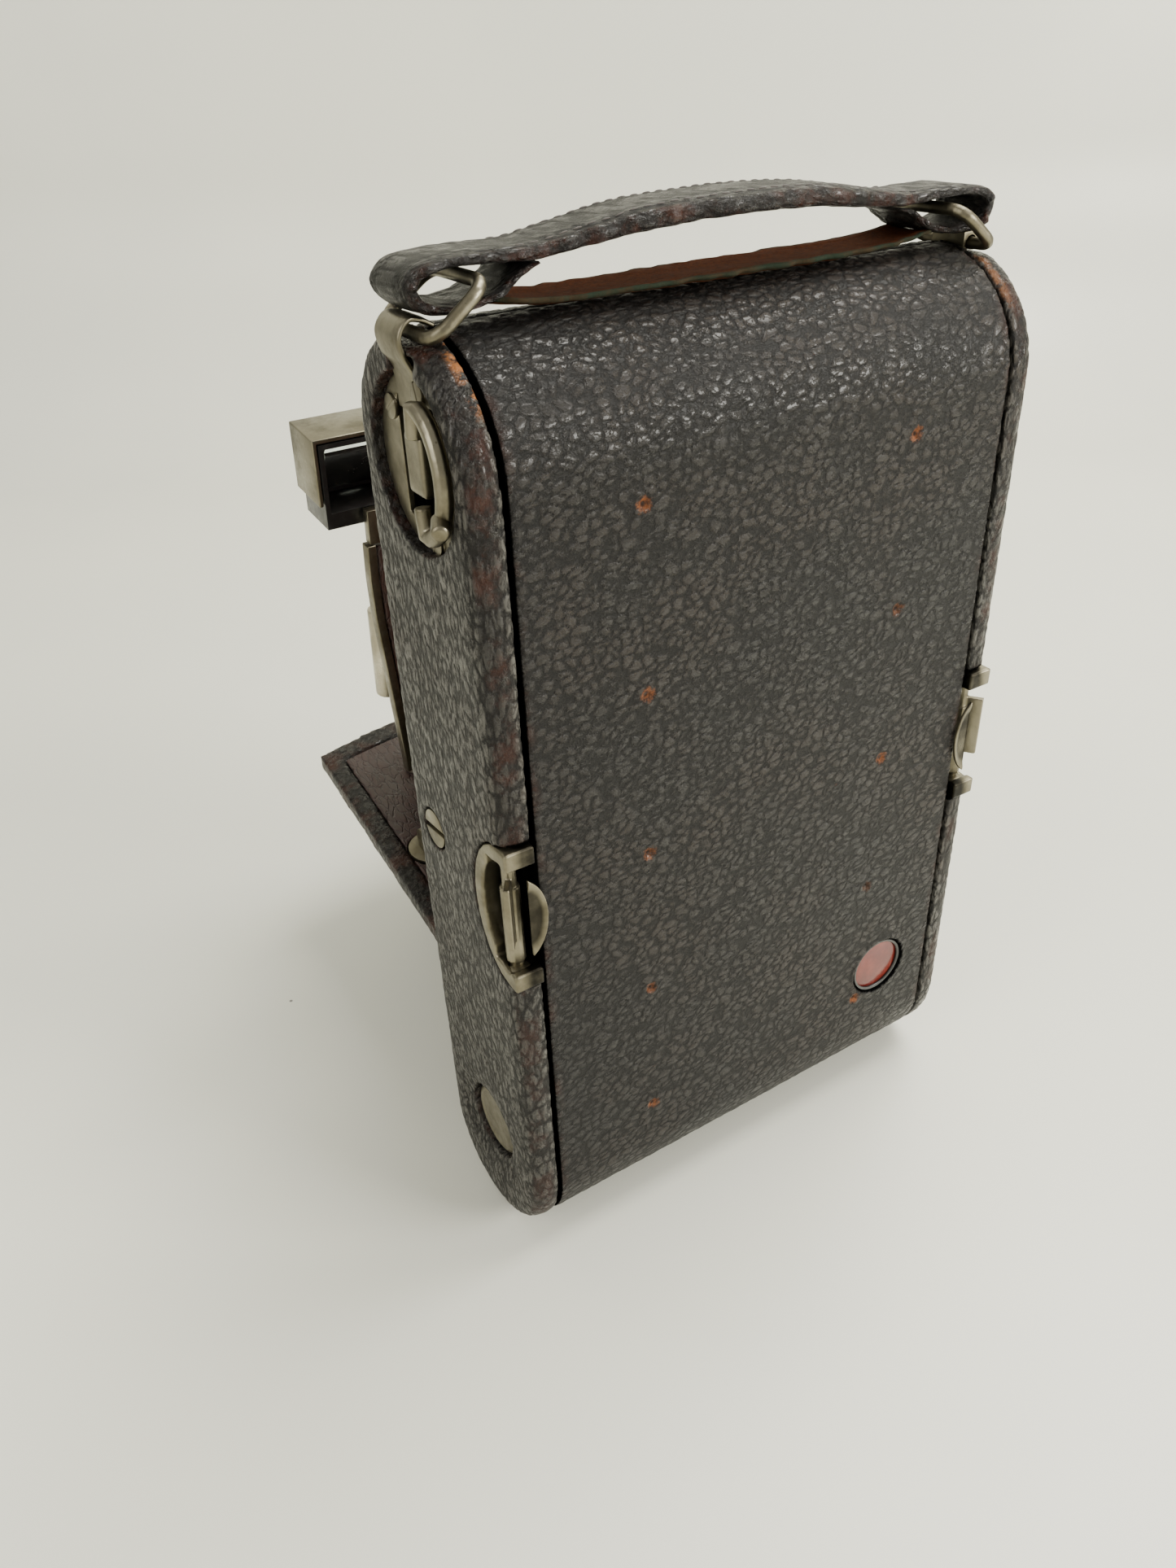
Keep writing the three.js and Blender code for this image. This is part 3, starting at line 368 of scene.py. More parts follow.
LOOKS = {
    "cover": body_leather("cover_leather", COVER_GRAIN, CHARCOAL, DRY_BROWN, rivets=True),
    # The sides take light grey crowns: a painted sheen of the bright floor on the same black leather as
    # the cover.
    "side": body_leather("side_leather", SIDE_GRAIN, (0.080, 0.076, 0.066), (0.055, 0.047, 0.039)),
    "front": body_leather("front_leather", PLAIN_GRAIN, CHARCOAL, DRY_BROWN),
    "strap": body_leather("strap_leather", STRAP_GRAIN, (0.008, 0.007, 0.006), (0.012, 0.009, 0.008)),
    "lining": smooth_leather(
        "maroon_lining", (0.024, 0.010, 0.009), (0.050, 0.024, 0.020), (1.0, 0.4, 1.0)),
    "board": smooth_leather(
        "maroon_board", (0.032, 0.012, 0.010), (0.085, 0.036, 0.028), (1.0, 1.0, 0.4)),
    "bellows": smooth_leather(
        "bellows_leather", (0.038, 0.010, 0.009), (0.105, 0.030, 0.024), (1, 1, 1), 0.2),
    "suede": suede(),
    "nickel": metal("tarnished_nickel", NICKEL_SHINE, NICKEL_TARNISH, (0.09, 0.075, 0.045)),
    "nickel_bright": metal(
        "rubbed_nickel", (0.50, 0.46, 0.37), (0.34, 0.31, 0.23), (0.12, 0.10, 0.06), 0.26),
    "brass": metal("aged_brass", (0.46, 0.32, 0.12), (0.26, 0.17, 0.065), (0.08, 0.06, 0.03), 0.30),
    "enamel": enamel(),
    "wood": wood(),
    "lens": glass("coated_glass", (0.86, 0.93, 0.95), 1.0, 0.02),
    "mirror": metal("silvered_glass", (0.78, 0.78, 0.76), (0.60, 0.60, 0.57), (0.2, 0.2, 0.19), 0.10),
    "ruby": ruby(),
    "thread": thread(),
}


# ---- mesh helpers --------------------------------------------------------------------------
def body_of_node(node):
    return frame["nodes"][node]["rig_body"]


def new_piece(name, mesh, look, body, replaced=()):
    """A finished mesh becomes a piece: linked, painted, and riding on its body."""
    piece = bpy.data.objects.new(name, mesh)
    bpy.context.scene.collection.objects.link(piece)
    mesh.materials.clear()
    mesh.materials.append(LOOKS[look])
    if replaced:
        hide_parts(*replaced)
    if body:
        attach(piece, body)
    return piece


def welded_copy(node):
    """The CAD node's mesh, with its split vertices merged."""
    mesh = frame["nodes"][node].data.copy()
    bm = bmesh.new()
    bm.from_mesh(mesh)
    bmesh.ops.remove_doubles(bm, verts=bm.verts, dist=1e-6)
    bm.to_mesh(mesh)
    bm.free()
    return mesh


def points_of(mesh):
    flat = np.empty(len(mesh.vertices) * 3, np.float32)
    mesh.vertices.foreach_get("co", flat)
    return flat.reshape(-1, 3).astype(float)


def normals_of(mesh):
    return np.array([n.vector for n in mesh.vertex_normals], float)


def put_points(mesh, points):
    mesh.vertices.foreach_set("co", points.astype(np.float32).ravel())
    mesh.update()


def put_attribute(mesh, name, values):
    made = mesh.attributes.new(name, "FLOAT", "POINT")
    made.data.foreach_set("value", np.asarray(values, np.float32))


def smooth_step(values, low, high):
    t = np.clip((values - low) / (high - low), 0, 1)
    return t * t * (3 - 2 * t)


def evaluated(mesh, *modifiers):
    """The mesh with modifiers applied, each given as (type, {setting: value})."""
    helper = bpy.data.objects.new("helper", mesh)
    bpy.context.scene.collection.objects.link(helper)
    for kind, settings in modifiers:
        modifier = helper.modifiers.new(kind, kind)
        for key, value in settings.items():
            setattr(modifier, key, value)
    graph = bpy.context.evaluated_depsgraph_get()
    made = bpy.data.meshes.new_from_object(helper.evaluated_get(graph))
    bpy.data.objects.remove(helper)
    return made


def softened(node, voxel, rounds):
    """The CAD solid as a fine, even mesh with its corners rounded over."""
    made = evaluated(
        welded_copy(node),
        ("REMESH", {"mode": "VOXEL", "voxel_size": voxel}),
        ("SMOOTH", {"factor": 0.5, "iterations": rounds}),
    )
    made.shade_smooth()
    return made


def crisp_mesh(mesh, width, segments=2, angle=32.0):
    """Flat facets rejoined, then every sharp edge given a small round."""
    bm = bmesh.new()
    bm.from_mesh(mesh)
    bmesh.ops.remove_doubles(bm, verts=bm.verts, dist=1e-6)
    bmesh.ops.dissolve_limit(
        bm, angle_limit=math.radians(0.5), verts=bm.verts, edges=bm.edges, delimit=set())
    sharp = [e for e in bm.edges if e.is_manifold and e.calc_face_angle(0) > math.radians(angle)]
    bmesh.ops.bevel(bm, geom=sharp, offset=width, offset_type="OFFSET", segments=segments,
                    profile=0.5, affect="EDGES", clamp_overlap=True)
    bmesh.ops.triangulate(bm, faces=[f for f in bm.faces if len(f.verts) > 4])
    bm.to_mesh(mesh)
    bm.free()
    mesh.shade_smooth()
    mesh.set_sharp_from_angle(angle=math.radians(38))
    return mesh


def crisp(node, look, width=0.25 * MM, segments=2):
    mesh = crisp_mesh(welded_copy(node), width, segments)
    return new_piece(f"{node}_fine", mesh, look, body_of_node(node), [node])


def soft(node, look, voxel, rounds):
    return new_piece(f"{node}_fine", softened(node, voxel, rounds), look, body_of_node(node), [node])


def lathe(profile, origin, axis, segments=96):
    """A closed profile of (radius, distance along the axis), turned about the axis."""
    turn = axis.to_track_quat("Z", "Y").to_matrix()
    bm = bmesh.new()
    rings = []
    for r, d in profile:
        if r < 1e-7:
            rings.append([bm.verts.new(origin + turn @ Vector((0, 0, d)))])
            continue
        angles = [2 * math.pi * k / segments for k in range(segments)]
        rings.append([bm.verts.new(origin + turn @ Vector((r * math.cos(a), r * math.sin(a), d)))
                      for a in angles])
    pairs = list(zip(rings, rings[1:]))
    if profile[0][0] > 1e-7 and profile[-1][0] > 1e-7:
        pairs.append((rings[-1], rings[0]))
    for a, b in pairs:
        for k in range(segments):
            n = (k + 1) % segments
            quad = [a[k % len(a)], a[n % len(a)], b[n % len(b)], b[k % len(b)]]
            corners = list(dict.fromkeys(quad))
            if len(corners) > 2:
                bm.faces.new(corners)
    bmesh.ops.recalc_face_normals(bm, faces=bm.faces)
    mesh = bpy.data.meshes.new("lathe")
    bm.to_mesh(mesh)
    bm.free()
    mesh.shade_smooth()
    mesh.set_sharp_from_angle(angle=math.radians(35))
    return mesh


def rounded(profile, radius):
    """The profile with each corner away from the axis cut into a small arc of three steps."""
    steps = 3
    points = [Vector(p) for p in profile]
    closed = profile[0][0] > 1e-7 and profile[-1][0] > 1e-7
    made = []
    for i, here in enumerate(points):
        if not closed and i in (0, len(points) - 1):
            made.append(here)
            continue
        before, after = points[i - 1], points[(i + 1) % len(points)]
        r = min(radius, (here - before).length * 0.45, (after - here).length * 0.45)
        start = here + (before - here).normalized() * r
        end = here + (after - here).normalized() * r
        for k in range(steps + 1):
            t = k / steps
            made.append(start * (1 - t) ** 2 + here * 2 * t * (1 - t) + end * t * t)
    return [tuple(p) for p in made]


def slotted_head(radius, height, slot, turn, centre, axis, depth=0.6):
    """A screw head: a disc on whose face two half rounds stand, one each side of the slot."""
    basis = axis.to_track_quat("Z", "Y").to_matrix() @ Matrix.Rotation(turn, 3, "Z")
    half = slot / 2
    bm = bmesh.new()
    reach = math.asin(half / radius)

    def prism(outline, low, high):
        bottom = [bm.verts.new(centre + basis @ Vector((x, y, low))) for x, y in outline]
        top = [bm.verts.new(centre + basis @ Vector((x, y, high))) for x, y in outline]
        bm.faces.new(bottom[::-1])
        bm.faces.new(top)
        for i in range(len(outline)):
            j = (i + 1) % len(outline)
            bm.faces.new([bottom[i], bottom[j], top[j], top[i]])

    circle = [2 * math.pi * k / 64 for k in range(64)]
    inner = radius * 0.985
    prism([(inner * math.cos(a), inner * math.sin(a)) for a in circle], 0.0, height * (1 - depth))
    for side in (0, math.pi):
        sweep = [side + reach + (math.pi - 2 * reach) * k / 32 for k in range(33)]
        prism([(radius * math.cos(a), radius * math.sin(a)) for a in sweep], 0.0, height)
    mesh = bpy.data.meshes.new("head")
    bm.to_mesh(mesh)
    bm.free()
    return crisp_mesh(mesh, min(0.12 * MM, height * 0.15))


def joined(meshes):
    """Several meshes as one."""
    bm = bmesh.new()
    for mesh in meshes:
        bm.from_mesh(mesh)
    made = bpy.data.meshes.new("joined")
    bm.to_mesh(made)
    bm.free()
    return made


# ---- leather -------------------------------------------------------------------------------
def pebbles(points, size, stretch):
    """Height of the pebbled grain at each point: 0 in a crease, up to 1 on a pebble's crown."""
    heights = np.empty(len(points))
    for i, p in enumerate(points):
        place = Vector((p[0] * stretch[0], p[1] * stretch[1], p[2] * stretch[2])) / size
        place += noise.noise_vector(place * 0.55) * 0.45
        near, second = noise.voronoi(place)[0][:2]
        heights[i] = min(1.0, (second - near) * 2.0) ** 0.7
    return heights


def grained(mesh, stretch, depth):
    """Raises real pebbles on the mesh, with slow waves under them as in leather glued over a box."""
    points, normals = points_of(mesh), normals_of(mesh)
    waves = np.array([noise.noise(Vector(p) * 70) for p in points])
    heights = pebbles(points, PEBBLE, stretch)
    lift = (heights - GRAIN_LEVEL) * depth + waves * WAVE_HEIGHT
    put_points(mesh, points + normals * lift[:, None])
    put_attribute(mesh, "grain", heights)


def side_leather(node, name):
    """A side shell: streaky grain, rims rubbed red-brown, bare tan at the top corner by the key, and
    painted shade in the latch pocket and the key's well.
    """
    mesh = softened(node, 0.46 * MM, 3)
    points, normals = points_of(mesh), normals_of(mesh)
    x, y, z = np.abs(points[:, 0]), points[:, 1], points[:, 2]
    facing = np.abs(normals[:, 0])
    rim = smooth_step(x, 54.6 * MM, 56.4 * MM) * (1 - smooth_step(facing, 0.72, 0.97))
    high = smooth_step(z, 0.30 * BODY_TOP, 0.95 * BODY_TOP)
    backward = smooth_step(normals[:, 1], 0.1, 0.5)
    by_seam = 1 - smooth_step(x, 55.4 * MM, 56.8 * MM)
    key_side = 1.0 if node.endswith("left") else 0.45
    bare = backward * by_seam * smooth_step(z, 0.94 * BODY_TOP, 0.97 * BODY_TOP)
    # Marked black: the shell inward of the seam as a dark joint, and painted shade on the latch pocket's
    # walls and in the key's well.
    dark = (y > BACK_Y - POCKET["depth"]) & (x < POCKET["face"])
    dark &= np.abs(z - POCKET["height"]) < POCKET["half_height"]
    dark |= x < SHELL_SEAM
    if node.endswith("left"):
        axis = middle("take_up_spool")
        beside = np.abs(y - axis.y) < WELL["half_width"]
        dark |= beside & (np.abs(z - axis.z) < WELL["half_height"]) & (x < WELL["face"])
    grained(mesh, SIDE_GRAIN, 0.17 * MM)
    put_attribute(mesh, "wear", rim * (0.55 + 0.40 * high))
    put_attribute(mesh, "bare", bare * key_side)
    put_attribute(mesh, "seam_and_shade", dark)
    new_piece(name, mesh, "side", "root", [node])


def rivet_gap(points):
    """Distance of each point from the nearest rivet, in the cover's plane."""
    dx = np.abs(points[:, 0] + RIVETS["off_centre"]) - RIVETS["half_gauge"]
    steps = np.round((points[:, 2] - RIVETS["first"]) / RIVETS["pitch"])
    steps = np.clip(steps, 0, RIVETS_IN_ROW - 1)
    dz = points[:, 2] - RIVETS["first"] - steps * RIVETS["pitch"]
    return np.hypot(dx, dz)


def cover_leather():
    """The removable back: ten sunk rivets show through its leather, and a rim holds the window."""
    mesh = softened("back_cover", 0.44 * MM, 3)
    points = points_of(mesh)
    points[:, 0] *= 1 - 0.3 * MM / COVER_HALF
    put_points(mesh, points)
    normals = normals_of(mesh)
    x = np.abs(points[:, 0])
    grained(mesh, COVER_GRAIN, 0.15 * MM)
    moved = points_of(mesh)
    outside = (points[:, 1] > BACK_Y - 1.0 * MM) * smooth_step(normals[:, 1], 0.3, 0.8)
    gap = rivet_gap(points)
    pit = -0.6 * MM * (1 - smooth_step(gap, 0.3 * MM, 1.4 * MM))
    swell = 0.15 * MM * np.exp(-((gap - 2.0 * MM) / (0.8 * MM)) ** 2)
    window = middle("red_window")
    ring = np.hypot(points[:, 0] - window.x, points[:, 2] - window.z)
    lip = 0.25 * MM * np.exp(-((ring - 8.2 * MM) / (0.7 * MM)) ** 2)
    moved[:, 1] += (pit + swell + lip) * outside
    put_points(mesh, moved)
    put_attribute(mesh, "wear", 0.55 * smooth_step(x, 51.0 * MM, 53.3 * MM))
    # Marked black: the cover's side edges as dark seams, and painted shade in the hole under the window.
    edge = np.abs(normals[:, 0]) > 0.6
    hole = (ring < 7.9 * MM) & (points[:, 1] > BACK_Y - 3 * MM)
    put_attribute(mesh, "seam_and_shade", edge | hole)
    new_piece("cover_leather_fine", mesh, "cover", "back_cover", ["back_cover"])


def front_leather(node):
    mesh = softened(node, 0.75 * MM, 4)
    x = np.abs(points_of(mesh)[:, 0])
    grained(mesh, PLAIN_GRAIN, 0.20 * MM)
    put_attribute(mesh, "wear", 0.6 * smooth_step(x, 50.0 * MM, 53.0 * MM))
    new_piece(f"{node}_fine", mesh, "front", "root", [node])


def bed_pieces():
    """The drop bed: pebbled outside, a raised worn border inside, and a thin maroon lining."""
    mesh = softened("bed_board", 0.7 * MM, 4)
    points, normals = points_of(mesh), normals_of(mesh)
    grained(mesh, PLAIN_GRAIN, 0.16 * MM)
    upward = smooth_step(normals @ np.array(STANDOFF), 0.3, 0.8)
    edge = smooth_step(np.abs(points[:, 0]), 42.0 * MM, 47.0 * MM)
    put_attribute(mesh, "wear", np.clip(0.35 + 0.4 * upward + 0.3 * edge, 0, 1))
    new_piece("bed_board_fine", mesh, "front", "root", ["bed_board"])
    lining = softened("bed_lining", 0.45 * MM, 2)
    put_attribute(lining, "wear", np.full(len(lining.vertices), 0.12))
    new_piece("bed_lining_fine", lining, "lining", "root", ["bed_lining"])


# ---- handle --------------------------------------------------------------------------------
# Half of the folded strap, from the end that is tucked back under, round the ring and up to the
# middle: x, height above the strap's lowest face, thickness, and half width, in mm.
STRAP_HALF = [
    (37.0, 6.3, 0.5, 5.6), (40.0, 5.5, 1.2, 6.1), (44.5, 2.9, 1.5, 6.5), (51.0, 1.6, 1.4, 6.8),
    (56.8, 2.5, 2.0, 7.0), (58.9, 5.0, 2.4, 7.0), (57.4, 7.2, 2.1, 6.9), (52.5, 8.1, 1.9, 6.7),
    (46.0, 8.1, 2.1, 6.4), (38.0, 7.9, 2.6, 6.4), (28.0, 9.1, 3.2, 6.9), (16.0, 10.5, 3.7, 7.6),
    (0.0, 10.9, 3.8, 8.0),
]
GRIP_ROWS = 4  # the last of those, which the stitches run along
# The thin suede-faced layer that lies along the body's top under the grip.
LOWER_HALF = [
    (45.0, 1.4, 1.0, 5.6), (34.0, 0.2, 1.1, 6.3), (16.0, 0.0, 1.2, 6.8), (0.0, 0.0, 1.2, 7.0),
]
# The key plate's neck, folded over the corner round the ring, measured from the ring's pivot.
NECK_ROWS = [
    (0.9, -11.5, 0.9, 4.0), (1.2, -6.2, 1.0, 4.1), (2.8, -2.6, 1.1, 4.3), (3.2, 0.2, 1.1, 4.4),
    (1.6, 2.2, 1.1, 4.4), (-0.6, 2.0, 1.0, 4.2), (-2.6, 1.0, 0.8, 4.0),
]


def mirrored(half):
    """Both halves of a strap, end to end, from the rows of one half, which end in the middle."""
    return half + [(-x, *rest) for x, *rest in reversed(half[:-1])]


def spline(rows, steps):
    """Catmull-Rom through the rows, for every column alike."""
    rows = np.array(rows)
    padded = np.vstack([2 * rows[0] - rows[1], rows, 2 * rows[-1] - rows[-2]])
    made = []
    for i in range(len(rows) - 1):
        a, b, c, d = padded[i:i + 4]
        for k in range(steps):
            t = k / steps
            made.append(0.5 * (2 * b + (c - a) * t + (2 * a - 5 * b + 4 * c - d) * t * t
                               + (3 * b - a - 3 * c + d) * t ** 3))
    made.append(rows[-1])
    return np.array(made)


def band(rows, origin, cup=0.0, groove=0.0, ragged=0.1, wavy=1.0):
    """A strip swept along rows of x, height, thickness and half width, with a flat oval section."""
    around = 64
    rows = spline(rows, 16)
    along = np.gradient(rows[:, :2], axis=0)
    along /= np.linalg.norm(along, axis=1)[:, None]
    bm = bmesh.new()
    rings, edge_share = [], []
    for (x, height, thick, width), (tx, tz) in zip(rows, along):
        out = Vector((-tz, 0, tx))
        ring = []
        for k in range(around):
            angle = 2 * math.pi * k / around
            c, s = math.cos(angle), math.sin(angle)
            across = math.copysign(abs(c) ** 0.42, c)
            up = math.copysign(abs(s) ** 0.55, s) * thick / 2
            reach = 1 + ragged * noise.noise(Vector((x * 0.35, across, 3.7 + height)))
            crease = groove * math.exp(-((abs(across) - 0.74) / 0.06) ** 2)
            wave = 0.15 * noise.noise(Vector((x * 0.07, across * 9, up * 0.6)))
            wave += 0.10 * noise.noise(Vector((x * 0.45, across * 3, up * 0.5 + 9)))
            lift = up + (wavy * wave - (crease if s * tx < 0 else 0.0)) * math.copysign(1, s)
            place = Vector((x, 0, height)) + out * lift
            place.z += cup * across * across
            place.y = across * width * reach
            ring.append(bm.verts.new(origin + place * MM))
            edge_share.append(float(smooth_step(np.array(abs(across)), 0.82, 0.97)))
        rings.append(ring)
    for a, b in zip(rings, rings[1:]):
        for k in range(around):
            n = (k + 1) % around
            bm.faces.new([a[k], a[n], b[n], b[k]])
    bm.faces.new(rings[0][::-1])
    bm.faces.new(rings[-1])
    bmesh.ops.recalc_face_normals(bm, faces=bm.faces)
    mesh = bpy.data.meshes.new("band")
    bm.to_mesh(mesh)
    bm.free()
    mesh.shade_smooth()
    put_attribute(mesh, "wear", edge_share)
    return mesh


def handle():
    """A folded and sewn strap: a thick grip above, and a thin suede-backed layer below."""
    low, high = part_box("handle_strap")
    origin = Vector((0, (low.y + high.y) / 2, low.z))
    mesh = band(mirrored(STRAP_HALF), origin, groove=0.3)
    grained(mesh, STRAP_GRAIN, 0.10 * MM)
    strap = new_piece("handle_strap_fine", mesh, "strap", "root", ["handle_strap"])
    lower = band(mirrored(LOWER_HALF), origin, cup=0.7, ragged=0.16)
    new_piece("handle_lower_layer", lower, "suede", "root", ["handle_strap"])
    stitches(strap, origin.y)


def stitches(strap, centre_y):
    """Two rows of sunk stitches along the grip, laid on the strap's own surface."""
    tree = BVHTree.FromObject(strap, bpy.context.evaluated_depsgraph_get())
    pitch, length, radius = 2.5 * MM, 1.7 * MM, 0.2 * MM
    line = np.array(STRAP_HALF[-GRIP_ROWS:])[::-1]
    meshes = []
    for side in (-1, 1):
        for k in range(-16, 17):
            x = k * pitch
            width = float(np.interp(abs(x) / MM, line[:, 0], line[:, 3])) * MM
            y = centre_y + side * 0.74 * width
            ends = [tree.ray_cast(Vector((x + d, y, 1.0)), Vector((0, 0, -1)))[0]
                    for d in (-length / 2, 0, length / 2)]
            if None in ends:
                continue
            run = ends[2] - ends[0]
            profile = [(0, 0)]
            for i in range(1, 8):
                t = i / 8
                profile.append((radius * math.sqrt(math.sin(math.pi * t)), run.length * t))
            profile.append((0, run.length))
            start = ends[0] + Vector((0, 0, 0.02 * MM))
            meshes.append(lathe(profile, start, run.normalized(), 8))
    new_piece("strap_stitches", joined(meshes), "thread", "root")


def rings():
    """The handle's rings, the key plate's folded neck that holds one, and the other's bracket."""
    for side in ("left", "right"):
        soft(f"handle_ring_{side}", "nickel", 0.26 * MM, 4)
    low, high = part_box("ring_bracket_left")
    pivot = Vector(((low.x + high.x) / 2, (low.y + high.y) / 2, low.z + 1.3 * MM))
    neck = band(NECK_ROWS, pivot, ragged=0.0, wavy=0.2)
    neck.attributes.remove(neck.attributes["wear"])
    new_piece("key_plate_neck", neck, "nickel", "root", ["ring_bracket_left"])
    crisp("ring_bracket_right", "nickel", 0.4 * MM, 3)


# ---- winding key ---------------------------------------------------------------------------
# y and z in mm from the key's axis, and the turn of the slot.
KEY_SCREWS = [(-8.2, 7.4, 0.6), (2.6, 11.3, 1.9), (3.6, -12.0, 1.2)]


def winding_key():
    """The plate with its three screws, the hub, and the fold-out bail with the lug it folds by."""
    axis = middle("take_up_spool")
    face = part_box("key_plate")[1].x - 0.65 * MM
    soft("key_plate", "nickel", 0.2 * MM, 3)
    for i, (dy, dz, turn) in enumerate(KEY_SCREWS, 1):
        seat = Vector((face, axis.y + dy * MM, axis.z + dz * MM))
        head = slotted_head(2.05 * MM, 0.75 * MM, 0.55 * MM, turn, seat, Vector((1, 0, 0)))
        new_piece(f"key_plate_screw_{i}", head, "nickel", "root")
    soft("winding_key_hub", "nickel", 0.28 * MM, 24)
    soft("winding_key_bail", "nickel", 0.24 * MM, 4)
    bail_x = middle("winding_key_bail").x
    foot = Vector((bail_x + 0.4 * MM, axis.y + 11.0 * MM, axis.z - 5.4 * MM))
    outline = [(0, 0), (1.5, 0), (1.5, 3.4), (1.1, 3.8), (0, 3.9)]
    lug = rounded([(r * MM, d * MM) for r, d in outline], 0.2 * MM)
    mesh = lathe(lug, foot, Vector((0.45, 0.82, -0.3)).normalized(), 40)
    new_piece("key_bail_lug", mesh, "nickel", "key_bail")


# ---- latches, knobs and plug ---------------------------------------------------------------
def keeper(side):
    """A half-moon catch on the cover's edge: a bright raised lip round a dished middle painted dark as
    shade.
    """
    node = f"back_keeper_{side}"
    mesh = softened(node, 0.16 * MM, 3)
    low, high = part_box(node)
    points = points_of(mesh)
    half = (high.z - low.z) / 2
    depth = high.x - low.x
    outer = high.x if side == "left" else low.x
    inward = np.abs(points[:, 0] - outer) / depth
    along = (points[:, 2] - (high.z + low.z) / 2) / half
    share = np.hypot(inward, along)
    dish = 1 - smooth_step(share, 0.62, 0.86)
    front = smooth_step(points[:, 1], (low.y + high.y) / 2, high.y)
    points[:, 1] -= 0.42 * MM * dish * front
    points[:, 1] += 0.12 * MM * np.exp(-((share - 0.92) / 0.06) ** 2) * front
    points[:, 0] = outer + (points[:, 0] - outer) * 0.74
    put_points(mesh, points)
    # The dish is painted near black as shade.
    put_attribute(mesh, "recess_shade", 0.92 * dish)
    new_piece(f"{node}_fine", mesh, "nickel", "back_cover", [node])


def latches():
    """On each side a frame, painted dark as shade in its depth, with the lever on a capped pivot, and a
    keeper.
    """
    pivot_x = 57.6 * MM
    for side, sign in (("left", 1), ("right", -1)):
        mesh = softened(f"latch_frame_{side}", 0.34 * MM, 4)
        # Painted shade: the frame darkens toward the depth of its pocket.
        deep = 1 - smooth_step(np.abs(points_of(mesh)[:, 0]), 56.5 * MM, 59.4 * MM)
        put_attribute(mesh, "recess_shade", deep)
        new_piece(f"latch_frame_{side}_fine", mesh, "nickel", "root", [f"latch_frame_{side}"])
        soft(f"latch_lever_{side}", "nickel", 0.2 * MM, 3)
        keeper(side)
        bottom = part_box(f"latch_frame_{side}")[0].z
        lever_y = middle(f"latch_lever_{side}").y
        seat = Vector((sign * pivot_x, lever_y + 0.2 * MM, bottom + 2.7 * MM))
        dome = rounded([(0, 0), (2.2 * MM, 0), (2.2 * MM, 0.5 * MM), (0, 1.0 * MM)], 0.3 * MM)
        cap = lathe(dome, seat, Vector((0, 0, 1)), 40)
        new_piece(f"latch_pivot_cap_{side}", cap, "nickel", "root")


def knobs():
    """Flat round pull knobs, turned with a fine rolled edge, in their dishes."""
    for node in ("spool_knob_lower_left", "spool_knob_lower_right", "spool_knob_upper_right"):
        low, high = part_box(node)
        centre = middle(node)
        sign = 1 if centre.x > 0 else -1
        outer = high.x if sign > 0 else low.x
        inner = low.x if sign > 0 else high.x
        radius = (high.z - low.z) / 2
        length = abs(outer - inner)
        profile = rounded([
            (0, 0), (2.3 * MM, 0), (2.3 * MM, length - 3.0 * MM), (3.6 * MM, length - 3.0 * MM),
            (3.6 * MM, length - 2.6 * MM), (radius, length - 2.6 * MM), (radius, length - 0.6 * MM),
            (radius - 1.2 * MM, length), (radius - 2.2 * MM, length - 0.25 * MM), (0, length - 0.15 * MM),
        ], 0.35 * MM)
        mesh = lathe(profile, Vector((inner, centre.y, centre.z)), Vector((sign, 0, 0)))
        new_piece(f"{node}_fine", mesh, "nickel", body_of_node(node), [node])


def tripod_plug():
    """The wide slotted screw that closes the tripod bush."""
    low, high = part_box("tripod_plug_screw")
    centre = Vector((low.x, (low.y + high.y) / 2, (low.z + high.z) / 2))
    radius, height = (high.y - low.y) / 2, high.x - low.x
    head = slotted_head(radius, height, 1.2 * MM, 0.12, centre, Vector((1, 0, 0)), 0.3)
    new_piece("tripod_plug_fine", head, "nickel", "root", ["tripod_plug_screw"])


def red_window():
    """A slightly domed disc in a thin black rim."""
    low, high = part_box("red_window")
    centre = Vector(((low.x + high.x) / 2, low.y, (low.z + high.z) / 2))
    radius = (high.x - low.x) / 2
    thick = high.y - low.y
    disc = rounded([(0, 0), (radius, 0), (radius, thick * 0.8), (0, thick)], 0.25 * MM)
    mesh = lathe(disc, centre, Vector((0, 1, 0)))
    new_piece("window_disc", mesh, "ruby", "back_cover", ["red_window"])
    ring = rounded([
        (radius - 0.5 * MM, thick * 0.85), (radius + 0.15 * MM, thick * 0.85),
        (radius + 0.15 * MM, thick + 0.5 * MM), (radius - 0.5 * MM, thick + 0.3 * MM),
    ], 0.15 * MM)
    new_piece("window_rim", lathe(ring, centre, Vector((0, 1, 0))), "enamel", "back_cover")


# ---- standard, shutter, lens and finder ------------------------------------------------------
def turned_at(node, name, look, profile, segments=96):
    """A turned piece about the lens axis. Distances run forward from the node's rear face."""
    points = points_of(frame["nodes"][node].data)
    rear = min(float(Vector(p).dot(OUTWARD)) for p in points)
    origin = LENS + OUTWARD * (rear - LENS.dot(OUTWARD))
    mesh = lathe(profile, origin, OUTWARD, segments)
    return new_piece(name, mesh, look, body_of_node(node), [node])


